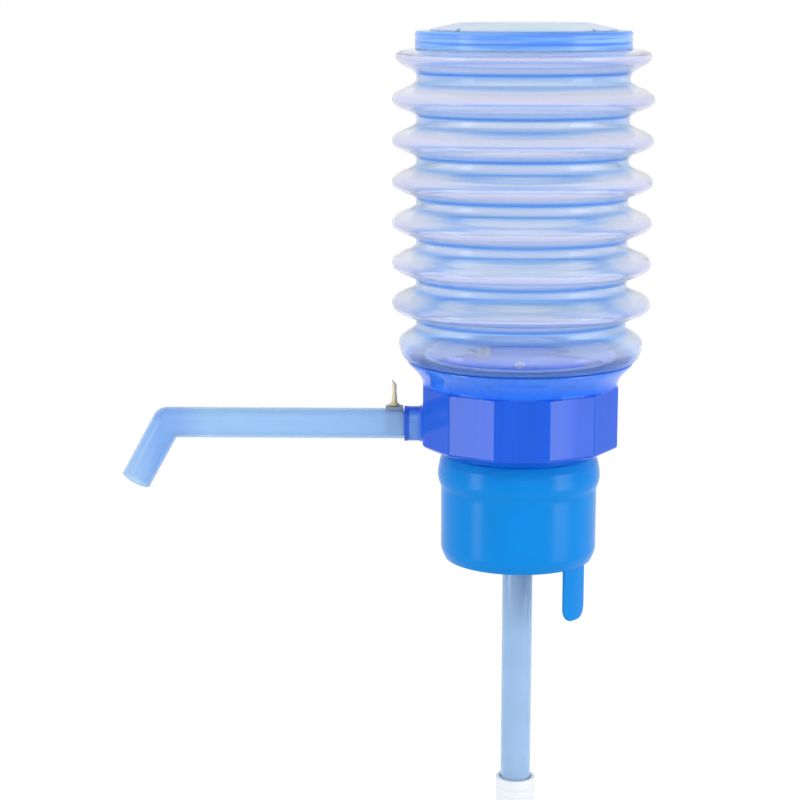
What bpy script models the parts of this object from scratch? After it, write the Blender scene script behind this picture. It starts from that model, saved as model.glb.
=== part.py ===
"""A bellows hand pump: a palm cap, a ribbed bellows, a faceted base, a side spout and a dip tube.

Metres, +Z up. The origin lies on the pump's axis, in the plane of the rim that the gasket seals on.
The spout points along -X.
"""

import math

import bmesh
import bpy
from mathutils import Vector

# Clearances and the overlaps of joined shapes
GAP = 0.0003
OVERRUN = 0.002
OVERLAP = 0.0004
WELD = 0.000001

# Points round a turned shape
ROUND_STEPS = 36
SMALL_STEPS = 20
RING_STEPS = 18
HOLE_STEPS = 10
SHARP_ANGLE = math.radians(35)

# Fit: the neck that the collar slides over, from its sealing rim at height zero
NECK_RADIUS = 0.0278
NECK_WALL = 0.0056

# Gasket
GASKET_THICKNESS = 0.0010

# Collar
COLLAR_WALL = 0.0024
COLLAR_WEB = 0.0013
COLLAR_DEPTH = 0.0395
COLLAR_BEAD = 0.0013
COLLAR_BEAD_DEPTH = 0.0112
COLLAR_LIP = 0.0010
COLLAR_LIP_DEPTH = 0.0025
COLLAR_HEM = 0.0045
COLLAR_BEAD_SHARES = [(0.0, -0.55), (0.22, 0.40), (0.50, 0.93), (0.66, 1.0), (0.80, 0.75), (1.0, 0.0)]
COLLAR_HEM_SHARES = [(0.45, 0.20), (1.0, 0.65)]

# Pull tab below the collar's hem
TAB_LENGTH = 0.021
TAB_WIDTH = 0.0125
TAB_THICKNESS = 0.0014
TAB_CORNER = 0.0040
TAB_DIRECTION = math.radians(-40)
TAB_COLUMNS = 11

# Housing, from its flared rim down
HOUSING_HEIGHT = 0.0368
HOUSING_SIDES = 12
RIM_RADIUS = 0.0438
RIM_EDGE = 0.0008
RIM_WALL = 0.0048
RECESS_DEPTH = 0.0035
FLARE_REACH = 0.0058
FLARE_HEIGHT = 0.0085
FLARE_SHARES = [(0.2, 0.10), (0.4, 0.28), (0.6, 0.50), (0.8, 0.76)]
FACETS_DROP = 0.0097
FACETS_STEP = 0.0010
FACETS_INSET = 0.0004
HOUSING_WALL = 0.00215
HOUSING_FLOOR = 0.0022
CHAMFER_HEIGHT = 0.0039
CHAMFER_REACH = 0.0072
CHAMFER_SHARES = [(0.38, 0.45), (0.78, 0.83)]
INNER_CHAMFER_HEIGHT = 0.0021
INNER_CHAMFER_REACH = 0.0039

# Spigot below the housing and the nut on it
SPIGOT_WALL = 0.0020
SPIGOT_DEPTH = 0.0090
NUT_WALL = 0.0029
NUT_HEIGHT = 0.0045
NUT_NOTCH_WIDTH = 0.0030
NUT_NOTCH_DEPTH = 0.0015
NUT_NOTCHES = 4

# Air holes in the housing's floor, round the riser's flange
FLOOR_HOLE_RADIUS = 0.0022
FLOOR_HOLE_MARGIN = 0.0005
FLOOR_HOLES = 6

# Pillars, plate and screws
PILLAR_RADIUS = 0.0034
PILLAR_MARGIN = 0.0002
PILLARS = 3
PLATE_THICKNESS = 0.0020
PLATE_SINK = 0.0005
SCREW_RADIUS = 0.0014
SCREW_LENGTH = 0.0120
SCREW_HEAD_RADIUS = 0.0027
SCREW_HEAD_HEIGHT = 0.0018
SCREW_EDGE_SHARE = 0.33
SCREW_SOCKET_RADIUS = 0.0013
SCREW_SOCKET_DEPTH = 0.0009
SCREW_SOCKET_SIDES = 6

# Mushroom valves and the holes that they cover
VALVE_RADIUS = 0.0090
VALVE_THICKNESS = 0.0012
VALVE_EDGE_SHARE = 0.33
VALVE_CENTRE_SHARE = 0.33
VALVE_STEM_RADIUS = 0.0012
VALVE_HEAD_RADIUS = 0.0022
VALVE_HEAD_HEIGHT = 0.0012
VALVE_LIFT = 0.0012
VALVE_HOLE_RADIUS = 0.0012
VALVE_HOLE_CIRCLE = 0.0058
VALVE_HOLES = 6

# Bellows
BELLOWS_WALL = 0.0010
VALLEY_INSET = 0.0032
VALLEY_SHARE = 0.22
RIB_DEPTH = 0.0094
RIB_PITCH = 0.0156
PLAIN_RIBS = 6
TOP_RIB_DEPTH = 0.0077
TOP_RIB_PITCH = 0.0160
NOSE_SHARE = 0.22
NOSE_DROP = 0.00075
LOW_RIB_DEPTH = 0.0065
LOW_RIB_RISE = 0.0065
LOW_NOSE_BELOW = 0.0050
LOW_NOSE_ABOVE = 0.0026
LOW_NOSE_DROP = 0.0016

# Rings inside the bellows' necks
CLAMP_WALL = 0.0017
CLAMP_HEIGHT = 0.0050

# Cap and palm disc
CAP_RADIUS = 0.0411
CAP_WALL = 0.0016
CAP_HEIGHT = 0.0064
CAP_PLATE = 0.0020
CAP_EDGE = 0.0012
CAP_EDGE_SHARE = 0.33
CAP_RISE = 0.0030
WELL_RADIUS = 0.0140
WELL_DEPTH = 0.0043
WELL_FLOOR = 0.0016
DISC_INSET = 0.0056
DISC_SLOPE = 0.0103
DISC_HEIGHT = 0.0027
DISC_EDGE = 0.0004
DISC_SKIN = 0.0013
DISC_SPIGOT_WALL = 0.0012
DISC_SPIGOT_DEPTH = 0.0026
DISC_VENTS = 4
DISC_VENT_WIDTH = 0.0016
DISC_VENT_HEIGHT = 0.0007

# Dip tube
TUBE_RADIUS = 0.0060
TUBE_WALL = 0.0010
TUBE_SECTION = 0.1420
COUPLER_WALL = 0.0015
COUPLER_LENGTH = 0.0240
COUPLER_STOP = 0.0020
FOOT_LENGTH = 0.0200
FOOT_GRIP = 0.0100
FOOT_NOTCHES = 4
FOOT_NOTCH_WIDTH = 0.0040
FOOT_NOTCH_DEPTH = 0.0050

# Riser, from its barbed tail in the dip tube up to its arm
TAIL_CLEARANCE = 0.0007
TAIL_WALL = 0.0009
TAIL_LENGTH = 0.0240
BARB_PITCH = 0.0060
BARB_STEP_SHARE = 0.1
BARBS = 3
RISER_WALL = 0.0026
RISER_TOP_WALL = 0.0015
RISER_FLANGE_REACH = 0.0028
RISER_FLANGE = 0.0020
ARM_WALL = 0.0019
ARM_MARGIN = 0.0020
ARM_GRIP = 0.0060
RISER_NUT_HEIGHT = 0.0025
RISER_NUT_SIDES = 6

# Spout
SPOUT_HEIGHT = 0.0137
SPOUT_RADIUS = 0.0060
SPOUT_WALL = 0.0010
SPOUT_LENGTH = 0.0929
SPOUT_LEG = 0.0265
SPOUT_BEND = math.radians(61.2)
SPOUT_FANS = 6

# Socket for the spout
SOCKET_LEDGE = 0.0008
SOCKET_LENGTH = 0.0074
SOCKET_FILLET = 0.0016
SOCKET_FILLET_SHARE = 0.29

# Outlet nipple, along the spout's axis, and its seals
NIPPLE_FLANGE_REACH = 0.0014
NIPPLE_FLANGE = 0.0018
NIPPLE_TIP_LAND = 0.0009
SEAL_SECTION = 0.00045
SEAL_POINTS = 6
SEAL_LAND = 0.0006
SEAL_FLOOR = 0.0007
GALLERY_WIDTH = 0.0012
GALLERY_DEPTH = 0.0006
BLEED_RADIUS = 0.0005

# Vent pin and its saddle
SADDLE_SETBACK = 0.0002
SADDLE_LENGTH = 0.0068
SADDLE_WIDTH = 0.0052
SADDLE_RISE = 0.0010
SADDLE_ROUND = 0.0003
PIN_STEM_RADIUS = 0.0007
PIN_RADIUS = 0.00095
PIN_FLANGE_RADIUS = 0.0021
PIN_FLANGE = 0.0005
PIN_CONE = 0.0019
PIN_HEIGHT = 0.0100
PIN_TIP = 0.0010
PIN_TIP_RADIUS = 0.0005

# Heights and radii of the collar and housing that follow from the sizes above
NECK_BORE = NECK_RADIUS - NECK_WALL
COLLAR_BORE = NECK_RADIUS + GAP
COLLAR_RADIUS = COLLAR_BORE + COLLAR_WALL
WEB_UNDERSIDE = GASKET_THICKNESS + GAP
WEB_TOP = WEB_UNDERSIDE + COLLAR_WEB
NUT_RADIUS = NECK_BORE - GAP
COLLAR_HOLE = NUT_RADIUS - NUT_WALL
SPIGOT_RADIUS = COLLAR_HOLE - GAP
HOUSING_FOOT = WEB_TOP + GAP
FLOOR_TOP = HOUSING_FOOT + HOUSING_FLOOR
RIM_TOP = HOUSING_FOOT + HOUSING_HEIGHT
RECESS_FLOOR = RIM_TOP - RECESS_DEPTH
RECESS_RADIUS = RIM_RADIUS - RIM_WALL
WAIST_RADIUS = RIM_RADIUS - FLARE_REACH
HOUSING_APOTHEM = WAIST_RADIUS - FACETS_INSET
FOOT_APOTHEM = HOUSING_APOTHEM - CHAMFER_REACH
HOUSING_BORE = HOUSING_APOTHEM - HOUSING_WALL
FLOOR_RADIUS = HOUSING_BORE - INNER_CHAMFER_REACH

# Those of the plate, the bellows and the cap
PLATE_TOP = RECESS_FLOOR - PLATE_SINK
PLATE_BOTTOM = PLATE_TOP - PLATE_THICKNESS
PILLAR_TOP = PLATE_BOTTOM - GAP
PILLAR_CIRCLE = FLOOR_RADIUS - PILLAR_MARGIN - PILLAR_RADIUS
NECK_BOTTOM = RECESS_FLOOR + GAP
NECK_OUTER = RECESS_RADIUS - GAP
SHOULDER_BOTTOM = RIM_TOP + GAP
VALLEY_RADIUS = RIM_RADIUS - VALLEY_INSET
LOW_RIB = RIM_TOP + LOW_RIB_RISE
TOP_RIB = LOW_RIB + PLAIN_RIBS * RIB_PITCH + TOP_RIB_PITCH
CAP_BOTTOM = TOP_RIB + CAP_RISE
CAP_TOP = CAP_BOTTOM + CAP_HEIGHT
CAP_PLATE_UNDERSIDE = CAP_TOP - CAP_PLATE
CAP_BORE = CAP_RADIUS - CAP_WALL
TOP_NECK_OUTER = CAP_BORE - GAP
TOP_NECK_TOP = CAP_PLATE_UNDERSIDE - GAP
WELL_TOP = CAP_TOP - WELL_DEPTH
WELL_UNDERSIDE = WELL_TOP - WELL_FLOOR
STEM_HOLE = VALVE_STEM_RADIUS + GAP
DISC_RADIUS = CAP_RADIUS - DISC_INSET
DISC_TOP_RADIUS = DISC_RADIUS - DISC_SLOPE

# Those of the water's way, from the dip tube to the spout
TUBE_BORE = TUBE_RADIUS - TUBE_WALL
TAIL_RADIUS = TUBE_BORE - TAIL_CLEARANCE
RISER_BORE = TAIL_RADIUS - TAIL_WALL
RISER_RADIUS = RISER_BORE + RISER_WALL
RISER_HOLE = RISER_RADIUS + GAP
RISER_SHOULDER = HOUSING_FOOT - GAP - RISER_NUT_HEIGHT - GAP
RISER_FLANGE_RADIUS = RISER_RADIUS + RISER_FLANGE_REACH
FLOOR_HOLE_CIRCLE = RISER_FLANGE_RADIUS + FLOOR_HOLE_MARGIN + FLOOR_HOLE_RADIUS
SPOUT_BORE = SPOUT_RADIUS - SPOUT_WALL
NIPPLE_RADIUS = SPOUT_BORE - GAP
SEAL_WIDTH = 2 * (SEAL_SECTION + GAP)
SEAL_DEPTH = 2 * SEAL_SECTION + GAP
NIPPLE_BORE = NIPPLE_RADIUS - SEAL_DEPTH - SEAL_FLOOR
NIPPLE_FLANGE_RADIUS = NIPPLE_RADIUS + NIPPLE_FLANGE_REACH
SOCKET_BORE = NIPPLE_RADIUS + GAP
SOCKET_RADIUS = SPOUT_RADIUS + SOCKET_LEDGE
SOCKET_REACH = HOUSING_APOTHEM + SOCKET_LENGTH
ARM_RADIUS = SOCKET_BORE + ARM_WALL
ARM_SEAT = RISER_RADIUS + ARM_MARGIN
ARM_REACH = ARM_SEAT + ARM_GRIP
SPOUT_ROOT = SOCKET_REACH + GAP
SPOUT_CORNER = SPOUT_ROOT + SPOUT_LENGTH
PIN_REACH = SPOUT_ROOT + SADDLE_SETBACK + SADDLE_LENGTH / 2
PIN_HOLE = PIN_STEM_RADIUS + GAP
SADDLE_TOP = SPOUT_RADIUS + SADDLE_RISE
SEAL_SPREAD = GALLERY_WIDTH / 2 + SEAL_LAND + SEAL_WIDTH / 2
NIPPLE_TIP = PIN_REACH + SEAL_SPREAD + SEAL_WIDTH / 2 + NIPPLE_TIP_LAND

UPRIGHT = (0, 0, 0)
ALONG_SPOUT = (0, -math.pi / 2, 0)


def finish(name, colour, roughness, transmission=0.0, metallic=0.0):
    """A plain Principled material in the colour of one kind of piece."""
    material = bpy.data.materials.new(name)
    material.use_nodes = True
    shader = material.node_tree.nodes["Principled BSDF"]
    shader.inputs["Base Color"].default_value = (*colour, 1)
    shader.inputs["Roughness"].default_value = roughness
    shader.inputs["Transmission Weight"].default_value = transmission
    shader.inputs["Metallic"].default_value = metallic
    material.diffuse_color = (*colour, 1)
    return material


def loop_at(bm, radius, height, sides=0, steps=ROUND_STEPS):
    """A level loop of points: round, or flat-sided with the radius at the middle of each side."""
    if radius == 0:
        return [bm.verts.new((0, 0, height))]
    loop = []
    for step in range(steps):
        angle = math.tau * (step + 1 / 2) / steps
        reach = radius
        if sides:
            side = math.tau / sides
            reach = radius / math.cos((angle + side / 2) % side - side / 2)
        loop.append(bm.verts.new((reach * math.cos(angle), reach * math.sin(angle), height)))
    return loop


def bridge(bm, first, second):
    """Faces between two loops of points, either of which may be a single point on the axis."""
    if len(first) == 1 and len(second) == 1:
        return
    count = max(len(first), len(second))
    for step in range(count):
        following = (step + 1) % count
        corners = [first[step % len(first)], first[following % len(first)]]
        corners += [second[following % len(second)], second[step % len(second)]]
        bm.faces.new(list(dict.fromkeys(corners)))


def turned(outline, steps=ROUND_STEPS):
    """A closed outline of (radius, height) or (radius, height, sides) points, turned about Z."""
    bm = bmesh.new()
    loops = [loop_at(bm, *point, steps=steps) for point in outline]
    for first, second in zip(loops, loops[1:] + loops[:1]):
        bridge(bm, first, second)
    bmesh.ops.recalc_face_normals(bm, faces=bm.faces)
    return bm


def rods(places, radius, low, high, steps=SMALL_STEPS):
    """Upright rods of one size, side by side in one mesh."""
    bm = bmesh.new()
    for x, y in places:
        ends = [loop_at(bm, radius, height, steps=steps) for height in (low, high)]
        bridge(bm, *ends)
        for end in ends:
            bm.faces.new(end)
            bmesh.ops.translate(bm, verts=end, vec=(x, y, 0))
    bmesh.ops.recalc_face_normals(bm, faces=bm.faces)
    return bm


def blocks(count, inner, outer, width, low, high):
    """Radial blocks spaced evenly round the Z axis, the first one half a space from +X."""
    bm = bmesh.new()
    for turn in range(count):
        angle = math.tau * (turn + 1 / 2) / count
        ahead = Vector((math.cos(angle), math.sin(angle), 0))
        across = Vector((-ahead.y, ahead.x, 0)) * width / 2
        ends = []
        for height in (low, high):
            up = Vector((0, 0, height))
            places = (ahead * inner - across, ahead * outer - across)
            places += (ahead * outer + across, ahead * inner + across)
            ends.append([bm.verts.new(place + up) for place in places])
        bridge(bm, *ends)
        for end in ends:
            bm.faces.new(end)
    bmesh.ops.recalc_face_normals(bm, faces=bm.faces)
    return bm


def on_circle(count, radius, start=0.0):
    """Evenly spaced (x, y) places on a circle."""
    angles = [start + math.tau * turn / count for turn in range(count)]
    return [(radius * math.cos(angle), radius * math.sin(angle)) for angle in angles]


def stand_of(carrier):
    """The world place of an empty, which may itself be carried by another."""
    if carrier is None:
        return Vector()
    return carrier.location + stand_of(carrier.parent)


def piece(name, bm, material=None, place=(0, 0, 0), tilt=UPRIGHT, carrier=None):
    """An object from a bmesh, at a place in the world, carried by an empty where it moves."""
    mesh = bpy.data.meshes.new(name)
    bm.to_mesh(mesh)
    bm.free()
    mesh.shade_smooth()
    mesh.set_sharp_from_angle(angle=SHARP_ANGLE)
    thing = bpy.data.objects.new(name, mesh)
    if material:
        mesh.materials.append(material)
    thing.location = Vector(place) - stand_of(carrier)
    thing.rotation_euler = tilt
    thing.parent = carrier
    bpy.context.scene.collection.objects.link(thing)
    return thing


def axis_empty(name, place, parent=None):
    """An empty on a joint's axis, which carries the pieces that move together."""
    empty = bpy.data.objects.new(name, None)
    empty.location = Vector(place) - stand_of(parent)
    empty.parent = parent
    bpy.context.scene.collection.objects.link(empty)
    return empty


def boolean(body, tool, operation):
    """Joins or cuts a body with a hidden tool."""
    tool.hide_render = True
    tool.display_type = "WIRE"
    modifier = body.modifiers.new(tool.name, "BOOLEAN")
    modifier.operation = operation
    modifier.solver = "EXACT"
    modifier.object = tool


def parallel(outline, distance):
    """The same open line, moved to its left by a distance, with mitred corners."""
    points = [Vector(point) for point in outline]
    normals = []
    for here, there in zip(points, points[1:]):
        run = (there - here).normalized()
        normals.append(Vector((-run.y, run.x)))
    befores = normals[:1] + normals
    afters = normals + normals[-1:]
    moved = []
    for point, before, after in zip(points, befores, afters):
        moved.append(point + (before + after) * distance / (1 + before.dot(after)))
    return [(point.x, point.y) for point in moved]


def bellows_outline():
    """The outer line of the bellows, from its bottom neck up to its top neck."""
    outline = [(NECK_OUTER, NECK_BOTTOM), (NECK_OUTER, SHOULDER_BOTTOM)]
    outline += [(RIM_RADIUS - GAP, SHOULDER_BOTTOM)]
    low_reach = VALLEY_RADIUS + LOW_RIB_DEPTH
    outline += [
        (low_reach - LOW_NOSE_DROP, LOW_RIB - LOW_NOSE_BELOW),
        (low_reach, LOW_RIB),
        (low_reach - NOSE_DROP, LOW_RIB + LOW_NOSE_ABOVE),
    ]
    crest = LOW_RIB
    for depth, pitch in [(RIB_DEPTH, RIB_PITCH)] * PLAIN_RIBS + [(TOP_RIB_DEPTH, TOP_RIB_PITCH)]:
        half = pitch / 2
        valley = crest + half
        crest += pitch
        reach = VALLEY_RADIUS + depth
        outline += [
            (VALLEY_RADIUS, valley - VALLEY_SHARE * half),
            (VALLEY_RADIUS, valley + VALLEY_SHARE * half),
            (reach - NOSE_DROP, crest - NOSE_SHARE * half),
            (reach, crest),
            (reach - NOSE_DROP, crest + NOSE_SHARE * half),
        ]
    outline += [(CAP_RADIUS, CAP_BOTTOM - GAP), (TOP_NECK_OUTER, CAP_BOTTOM - GAP)]
    outline += [(TOP_NECK_OUTER, TOP_NECK_TOP)]
    return outline


def make_bellows(material):
    """One thin turned wall with its ribs and two necks, open at both ends."""
    outside = bellows_outline()
    inside = parallel(outside, BELLOWS_WALL)
    return piece("bellows", turned(outside + inside[::-1]), material)


def housing_outline():
    """The housing's wall, floor and spigot as one closed outline."""
    base = RIM_TOP - FLARE_HEIGHT
    facets_top = RIM_TOP - FACETS_DROP
    outline = [
        (RISER_HOLE, FLOOR_TOP),
        (FLOOR_RADIUS, FLOOR_TOP),
        (HOUSING_BORE, FLOOR_TOP + INNER_CHAMFER_HEIGHT),
        (HOUSING_BORE, RECESS_FLOOR),
        (RECESS_RADIUS, RECESS_FLOOR),
        (RECESS_RADIUS, RIM_TOP),
        (RIM_RADIUS, RIM_TOP),
        (RIM_RADIUS, RIM_TOP - RIM_EDGE),
    ]
    for rise, spread in reversed(FLARE_SHARES):
        reach = WAIST_RADIUS + spread * FLARE_REACH
        outline.append((reach, base + rise * (FLARE_HEIGHT - RIM_EDGE)))
    outline.append((WAIST_RADIUS, facets_top + FACETS_STEP))
    outline.append((HOUSING_APOTHEM, facets_top, HOUSING_SIDES))
    outline.append((HOUSING_APOTHEM, HOUSING_FOOT + CHAMFER_HEIGHT, HOUSING_SIDES))
    for rise, spread in reversed(CHAMFER_SHARES):
        reach = FOOT_APOTHEM + spread * CHAMFER_REACH
        outline.append((reach, HOUSING_FOOT + rise * CHAMFER_HEIGHT, HOUSING_SIDES))
    outline += [
        (FOOT_APOTHEM, HOUSING_FOOT, HOUSING_SIDES),
        (SPIGOT_RADIUS, HOUSING_FOOT),
        (SPIGOT_RADIUS, -SPIGOT_DEPTH),
        (SPIGOT_RADIUS - SPIGOT_WALL, -SPIGOT_DEPTH),
        (SPIGOT_RADIUS - SPIGOT_WALL, HOUSING_FOOT),
        (RISER_HOLE, HOUSING_FOOT),
    ]
    return outline


def make_housing(material):
    """The faceted base with its flared rim, three screw pillars, air holes and the spout's socket."""
    housing = piece("housing", turned(housing_outline()), material)
    screws = on_circle(PILLARS, PILLAR_CIRCLE)
    pillars = rods(screws, PILLAR_RADIUS, FLOOR_TOP - OVERLAP, PILLAR_TOP)
    boolean(housing, piece("pillar_tool", pillars), "UNION")
    wall = HOUSING_BORE + OVERLAP
    bulge = SOCKET_FILLET * SOCKET_FILLET_SHARE
    socket = turned([
        (0, wall),
        (SOCKET_RADIUS + SOCKET_FILLET, wall),
        (SOCKET_RADIUS + SOCKET_FILLET, HOUSING_APOTHEM),
        (SOCKET_RADIUS + bulge, HOUSING_APOTHEM + bulge),
        (SOCKET_RADIUS, HOUSING_APOTHEM + SOCKET_FILLET),
        (SOCKET_RADIUS, SOCKET_REACH),
        (0, SOCKET_REACH),
    ])
    along = (0, 0, SPOUT_HEIGHT)
    boolean(housing, piece("socket_tool", socket, place=along, tilt=ALONG_SPOUT), "UNION")
    bore = rods([(0, 0)], SOCKET_BORE, HOUSING_BORE - OVERRUN, SOCKET_REACH + OVERRUN)
    boolean(housing, piece("socket_bore_tool", bore, place=along, tilt=ALONG_SPOUT), "DIFFERENCE")
    pilot_bottom = PILLAR_TOP - SCREW_LENGTH
    pilots = rods(screws, SCREW_RADIUS + GAP, pilot_bottom, PILLAR_TOP + OVERRUN, HOLE_STEPS)
    boolean(housing, piece("pilot_tool", pilots), "DIFFERENCE")
    places = on_circle(FLOOR_HOLES, FLOOR_HOLE_CIRCLE)
    air = rods(places, FLOOR_HOLE_RADIUS, HOUSING_FOOT - OVERRUN, FLOOR_TOP + OVERRUN, HOLE_STEPS)
    boolean(housing, piece("air_hole_tool", air), "DIFFERENCE")
    return housing


def tab_mesh():
    """The pull tab: an arc of the skirt that goes on below the hem, with rounded lower corners."""
    bm = bmesh.new()
    inner = COLLAR_BORE - COLLAR_LIP + OVERLAP / 2
    outer = inner + TAB_THICKNESS
    top = -COLLAR_DEPTH + COLLAR_LIP_DEPTH - OVERLAP / 2
    loops = []
    for column in range(TAB_COLUMNS):
        across = (2 * column / (TAB_COLUMNS - 1) - 1) * TAB_WIDTH / 2
        past = max(0, abs(across) - (TAB_WIDTH / 2 - TAB_CORNER)) / TAB_CORNER
        bottom = -COLLAR_DEPTH - TAB_LENGTH + TAB_CORNER * (1 - math.sqrt(1 - past * past))
        angle = TAB_DIRECTION + across / outer
        places = ((inner, top), (outer, top), (outer, bottom), (inner, bottom))
        out = Vector((math.cos(angle), math.sin(angle), 0))
        loops.append([bm.verts.new(out * reach + Vector((0, 0, height))) for reach, height in places])
    for first, second in zip(loops, loops[1:]):
        bridge(bm, first, second)
    bm.faces.new(loops[0])
    bm.faces.new(loops[-1])
    bmesh.ops.recalc_face_normals(bm, faces=bm.faces)
    return bm


def make_collar(material):
    """The neck collar: a web over the rim, a beaded skirt with a snap lip, and the pull tab."""
    outline = [(COLLAR_HOLE, WEB_UNDERSIDE), (COLLAR_HOLE, WEB_TOP)]
    for drop, swell in COLLAR_BEAD_SHARES:
        depth = WEB_TOP - drop * (COLLAR_BEAD_DEPTH + WEB_TOP)
        outline.append((COLLAR_RADIUS + swell * COLLAR_BEAD, depth))
    outline.append((COLLAR_RADIUS, -COLLAR_DEPTH + COLLAR_HEM))
    for drop, draw in COLLAR_HEM_SHARES:
        height = -COLLAR_DEPTH + COLLAR_HEM * (1 - drop)
        outline.append((COLLAR_RADIUS - draw * COLLAR_WALL, height))
    lip = COLLAR_BORE - COLLAR_LIP
    outline += [
        (lip, -COLLAR_DEPTH),
        (lip, -COLLAR_DEPTH + COLLAR_LIP_DEPTH),
        (COLLAR_BORE, -COLLAR_DEPTH + COLLAR_LIP_DEPTH + COLLAR_LIP),
        (COLLAR_BORE, WEB_UNDERSIDE),
    ]
    collar = piece("neck_collar", turned(outline), material)
    boolean(collar, piece("tab_tool", tab_mesh()), "UNION")
    return collar


def band(inner, outer, low, high, steps=ROUND_STEPS):
    """A plain turned ring."""
    return turned([(inner, low), (outer, low), (outer, high), (inner, high)], steps)


def make_collar_nut(material):
    """The ring nut on the spigot, with spanner notches in its underside."""
    bottom = GASKET_THICKNESS - NUT_HEIGHT
    nut = piece("collar_nut", band(COLLAR_HOLE, NUT_RADIUS, bottom, GASKET_THICKNESS), material)
    notches = blocks(
        NUT_NOTCHES,
        COLLAR_HOLE - OVERRUN,
        NUT_RADIUS + OVERRUN,
        NUT_NOTCH_WIDTH,
        bottom - OVERRUN,
        bottom + NUT_NOTCH_DEPTH,
    )
    boolean(nut, piece("nut_notch_tool", notches), "DIFFERENCE")
    return nut


def make_valve_plate(material):
    """The plate over the housing, with holes for the valve's stem, the air and the screws."""
    outer = HOUSING_BORE - GAP
    blank = band(STEM_HOLE, outer, PLATE_BOTTOM, PLATE_TOP)
    plate = piece("valve_plate", blank, material)
    low = PLATE_BOTTOM - OVERRUN
    high = PLATE_TOP + OVERRUN
    air = rods(on_circle(VALVE_HOLES, VALVE_HOLE_CIRCLE), VALVE_HOLE_RADIUS, low, high, HOLE_STEPS)
    boolean(plate, piece("plate_air_tool", air), "DIFFERENCE")
    screws = rods(on_circle(PILLARS, PILLAR_CIRCLE), SCREW_RADIUS + GAP, low, high, HOLE_STEPS)
    boolean(plate, piece("plate_screw_tool", screws), "DIFFERENCE")
    return plate


def make_mushroom(name, underside, thickness, material, carrier):
    """A mushroom valve that seals the underside of a plate and hangs by its head above it."""
    seat = underside - GAP
    head = underside + thickness + GAP + VALVE_LIFT
    outline = [
        (0, seat - VALVE_THICKNESS),
        (VALVE_RADIUS * VALVE_CENTRE_SHARE, seat - VALVE_THICKNESS),
        (VALVE_RADIUS, seat - VALVE_THICKNESS * VALVE_EDGE_SHARE),
        (VALVE_RADIUS, seat),
        (VALVE_STEM_RADIUS, seat),
        (VALVE_STEM_RADIUS, head),
        (VALVE_HEAD_RADIUS, head),
        (VALVE_STEM_RADIUS, head + VALVE_HEAD_HEIGHT),
        (0, head + VALVE_HEAD_HEIGHT),
    ]
    return piece(name, turned(outline, SMALL_STEPS), material, carrier=carrier)


def make_screws(material):
    """The three screws that hold the plate to the pillars."""
    seat = PLATE_TOP + GAP
    crown = seat + SCREW_HEAD_HEIGHT
    socket = crown - SCREW_SOCKET_DEPTH
    edge = SCREW_HEAD_HEIGHT * SCREW_EDGE_SHARE
    outline = [
        (0, PILLAR_TOP + GAP - SCREW_LENGTH),
        (SCREW_RADIUS, PILLAR_TOP + GAP - SCREW_LENGTH + SCREW_RADIUS),
        (SCREW_RADIUS, seat),
        (SCREW_HEAD_RADIUS, seat),
        (SCREW_HEAD_RADIUS, crown - edge),
        (SCREW_HEAD_RADIUS - edge, crown),
        (SCREW_SOCKET_RADIUS, crown, SCREW_SOCKET_SIDES),
        (SCREW_SOCKET_RADIUS, socket, SCREW_SOCKET_SIDES),
        (0, socket),
    ]
    for number, (x, y) in enumerate(on_circle(PILLARS, PILLAR_CIRCLE), start=1):
        piece(f"plate_screw_{number}", turned(outline, RING_STEPS), material, place=(x, y, 0))


def make_clamp_rings(material, carrier):
    """The rings that back the bellows' two necks from inside."""
    low_outer = NECK_OUTER - BELLOWS_WALL - GAP
    low = band(low_outer - CLAMP_WALL, low_outer, NECK_BOTTOM, NECK_BOTTOM + CLAMP_HEIGHT)
    piece("bellows_clamp_ring", low, material)
    outer = TOP_NECK_OUTER - BELLOWS_WALL - GAP
    high = band(outer - CLAMP_WALL, outer, TOP_NECK_TOP - CLAMP_HEIGHT, TOP_NECK_TOP)
    piece("cap_clamp_ring", high, material, carrier=carrier)


def make_cap(material, carrier):
    """The press cap: a skirt over the bellows' neck, a plate, and a well with the air holes."""
    well_wall = WELL_RADIUS + CAP_WALL
    edge = CAP_EDGE * CAP_EDGE_SHARE
    outline = [
        (CAP_RADIUS, CAP_BOTTOM),
        (CAP_RADIUS, CAP_TOP - CAP_EDGE),
        (CAP_RADIUS - edge, CAP_TOP - edge),
        (CAP_RADIUS - CAP_EDGE, CAP_TOP),
        (WELL_RADIUS, CAP_TOP),
        (WELL_RADIUS, WELL_TOP),
        (STEM_HOLE, WELL_TOP),
        (STEM_HOLE, WELL_UNDERSIDE),
        (well_wall, WELL_UNDERSIDE),
        (well_wall, CAP_PLATE_UNDERSIDE),
        (CAP_BORE, CAP_PLATE_UNDERSIDE),
        (CAP_BORE, CAP_BOTTOM),
    ]
    cap = piece("press_cap", turned(outline), material, carrier=carrier)
    places = on_circle(VALVE_HOLES, VALVE_HOLE_CIRCLE)
    low = WELL_UNDERSIDE - OVERRUN
    high = WELL_TOP + OVERRUN
    air = rods(places, VALVE_HOLE_RADIUS, low, high, HOLE_STEPS)
    boolean(cap, piece("cap_air_tool", air, carrier=carrier), "DIFFERENCE")
    return cap


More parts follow.
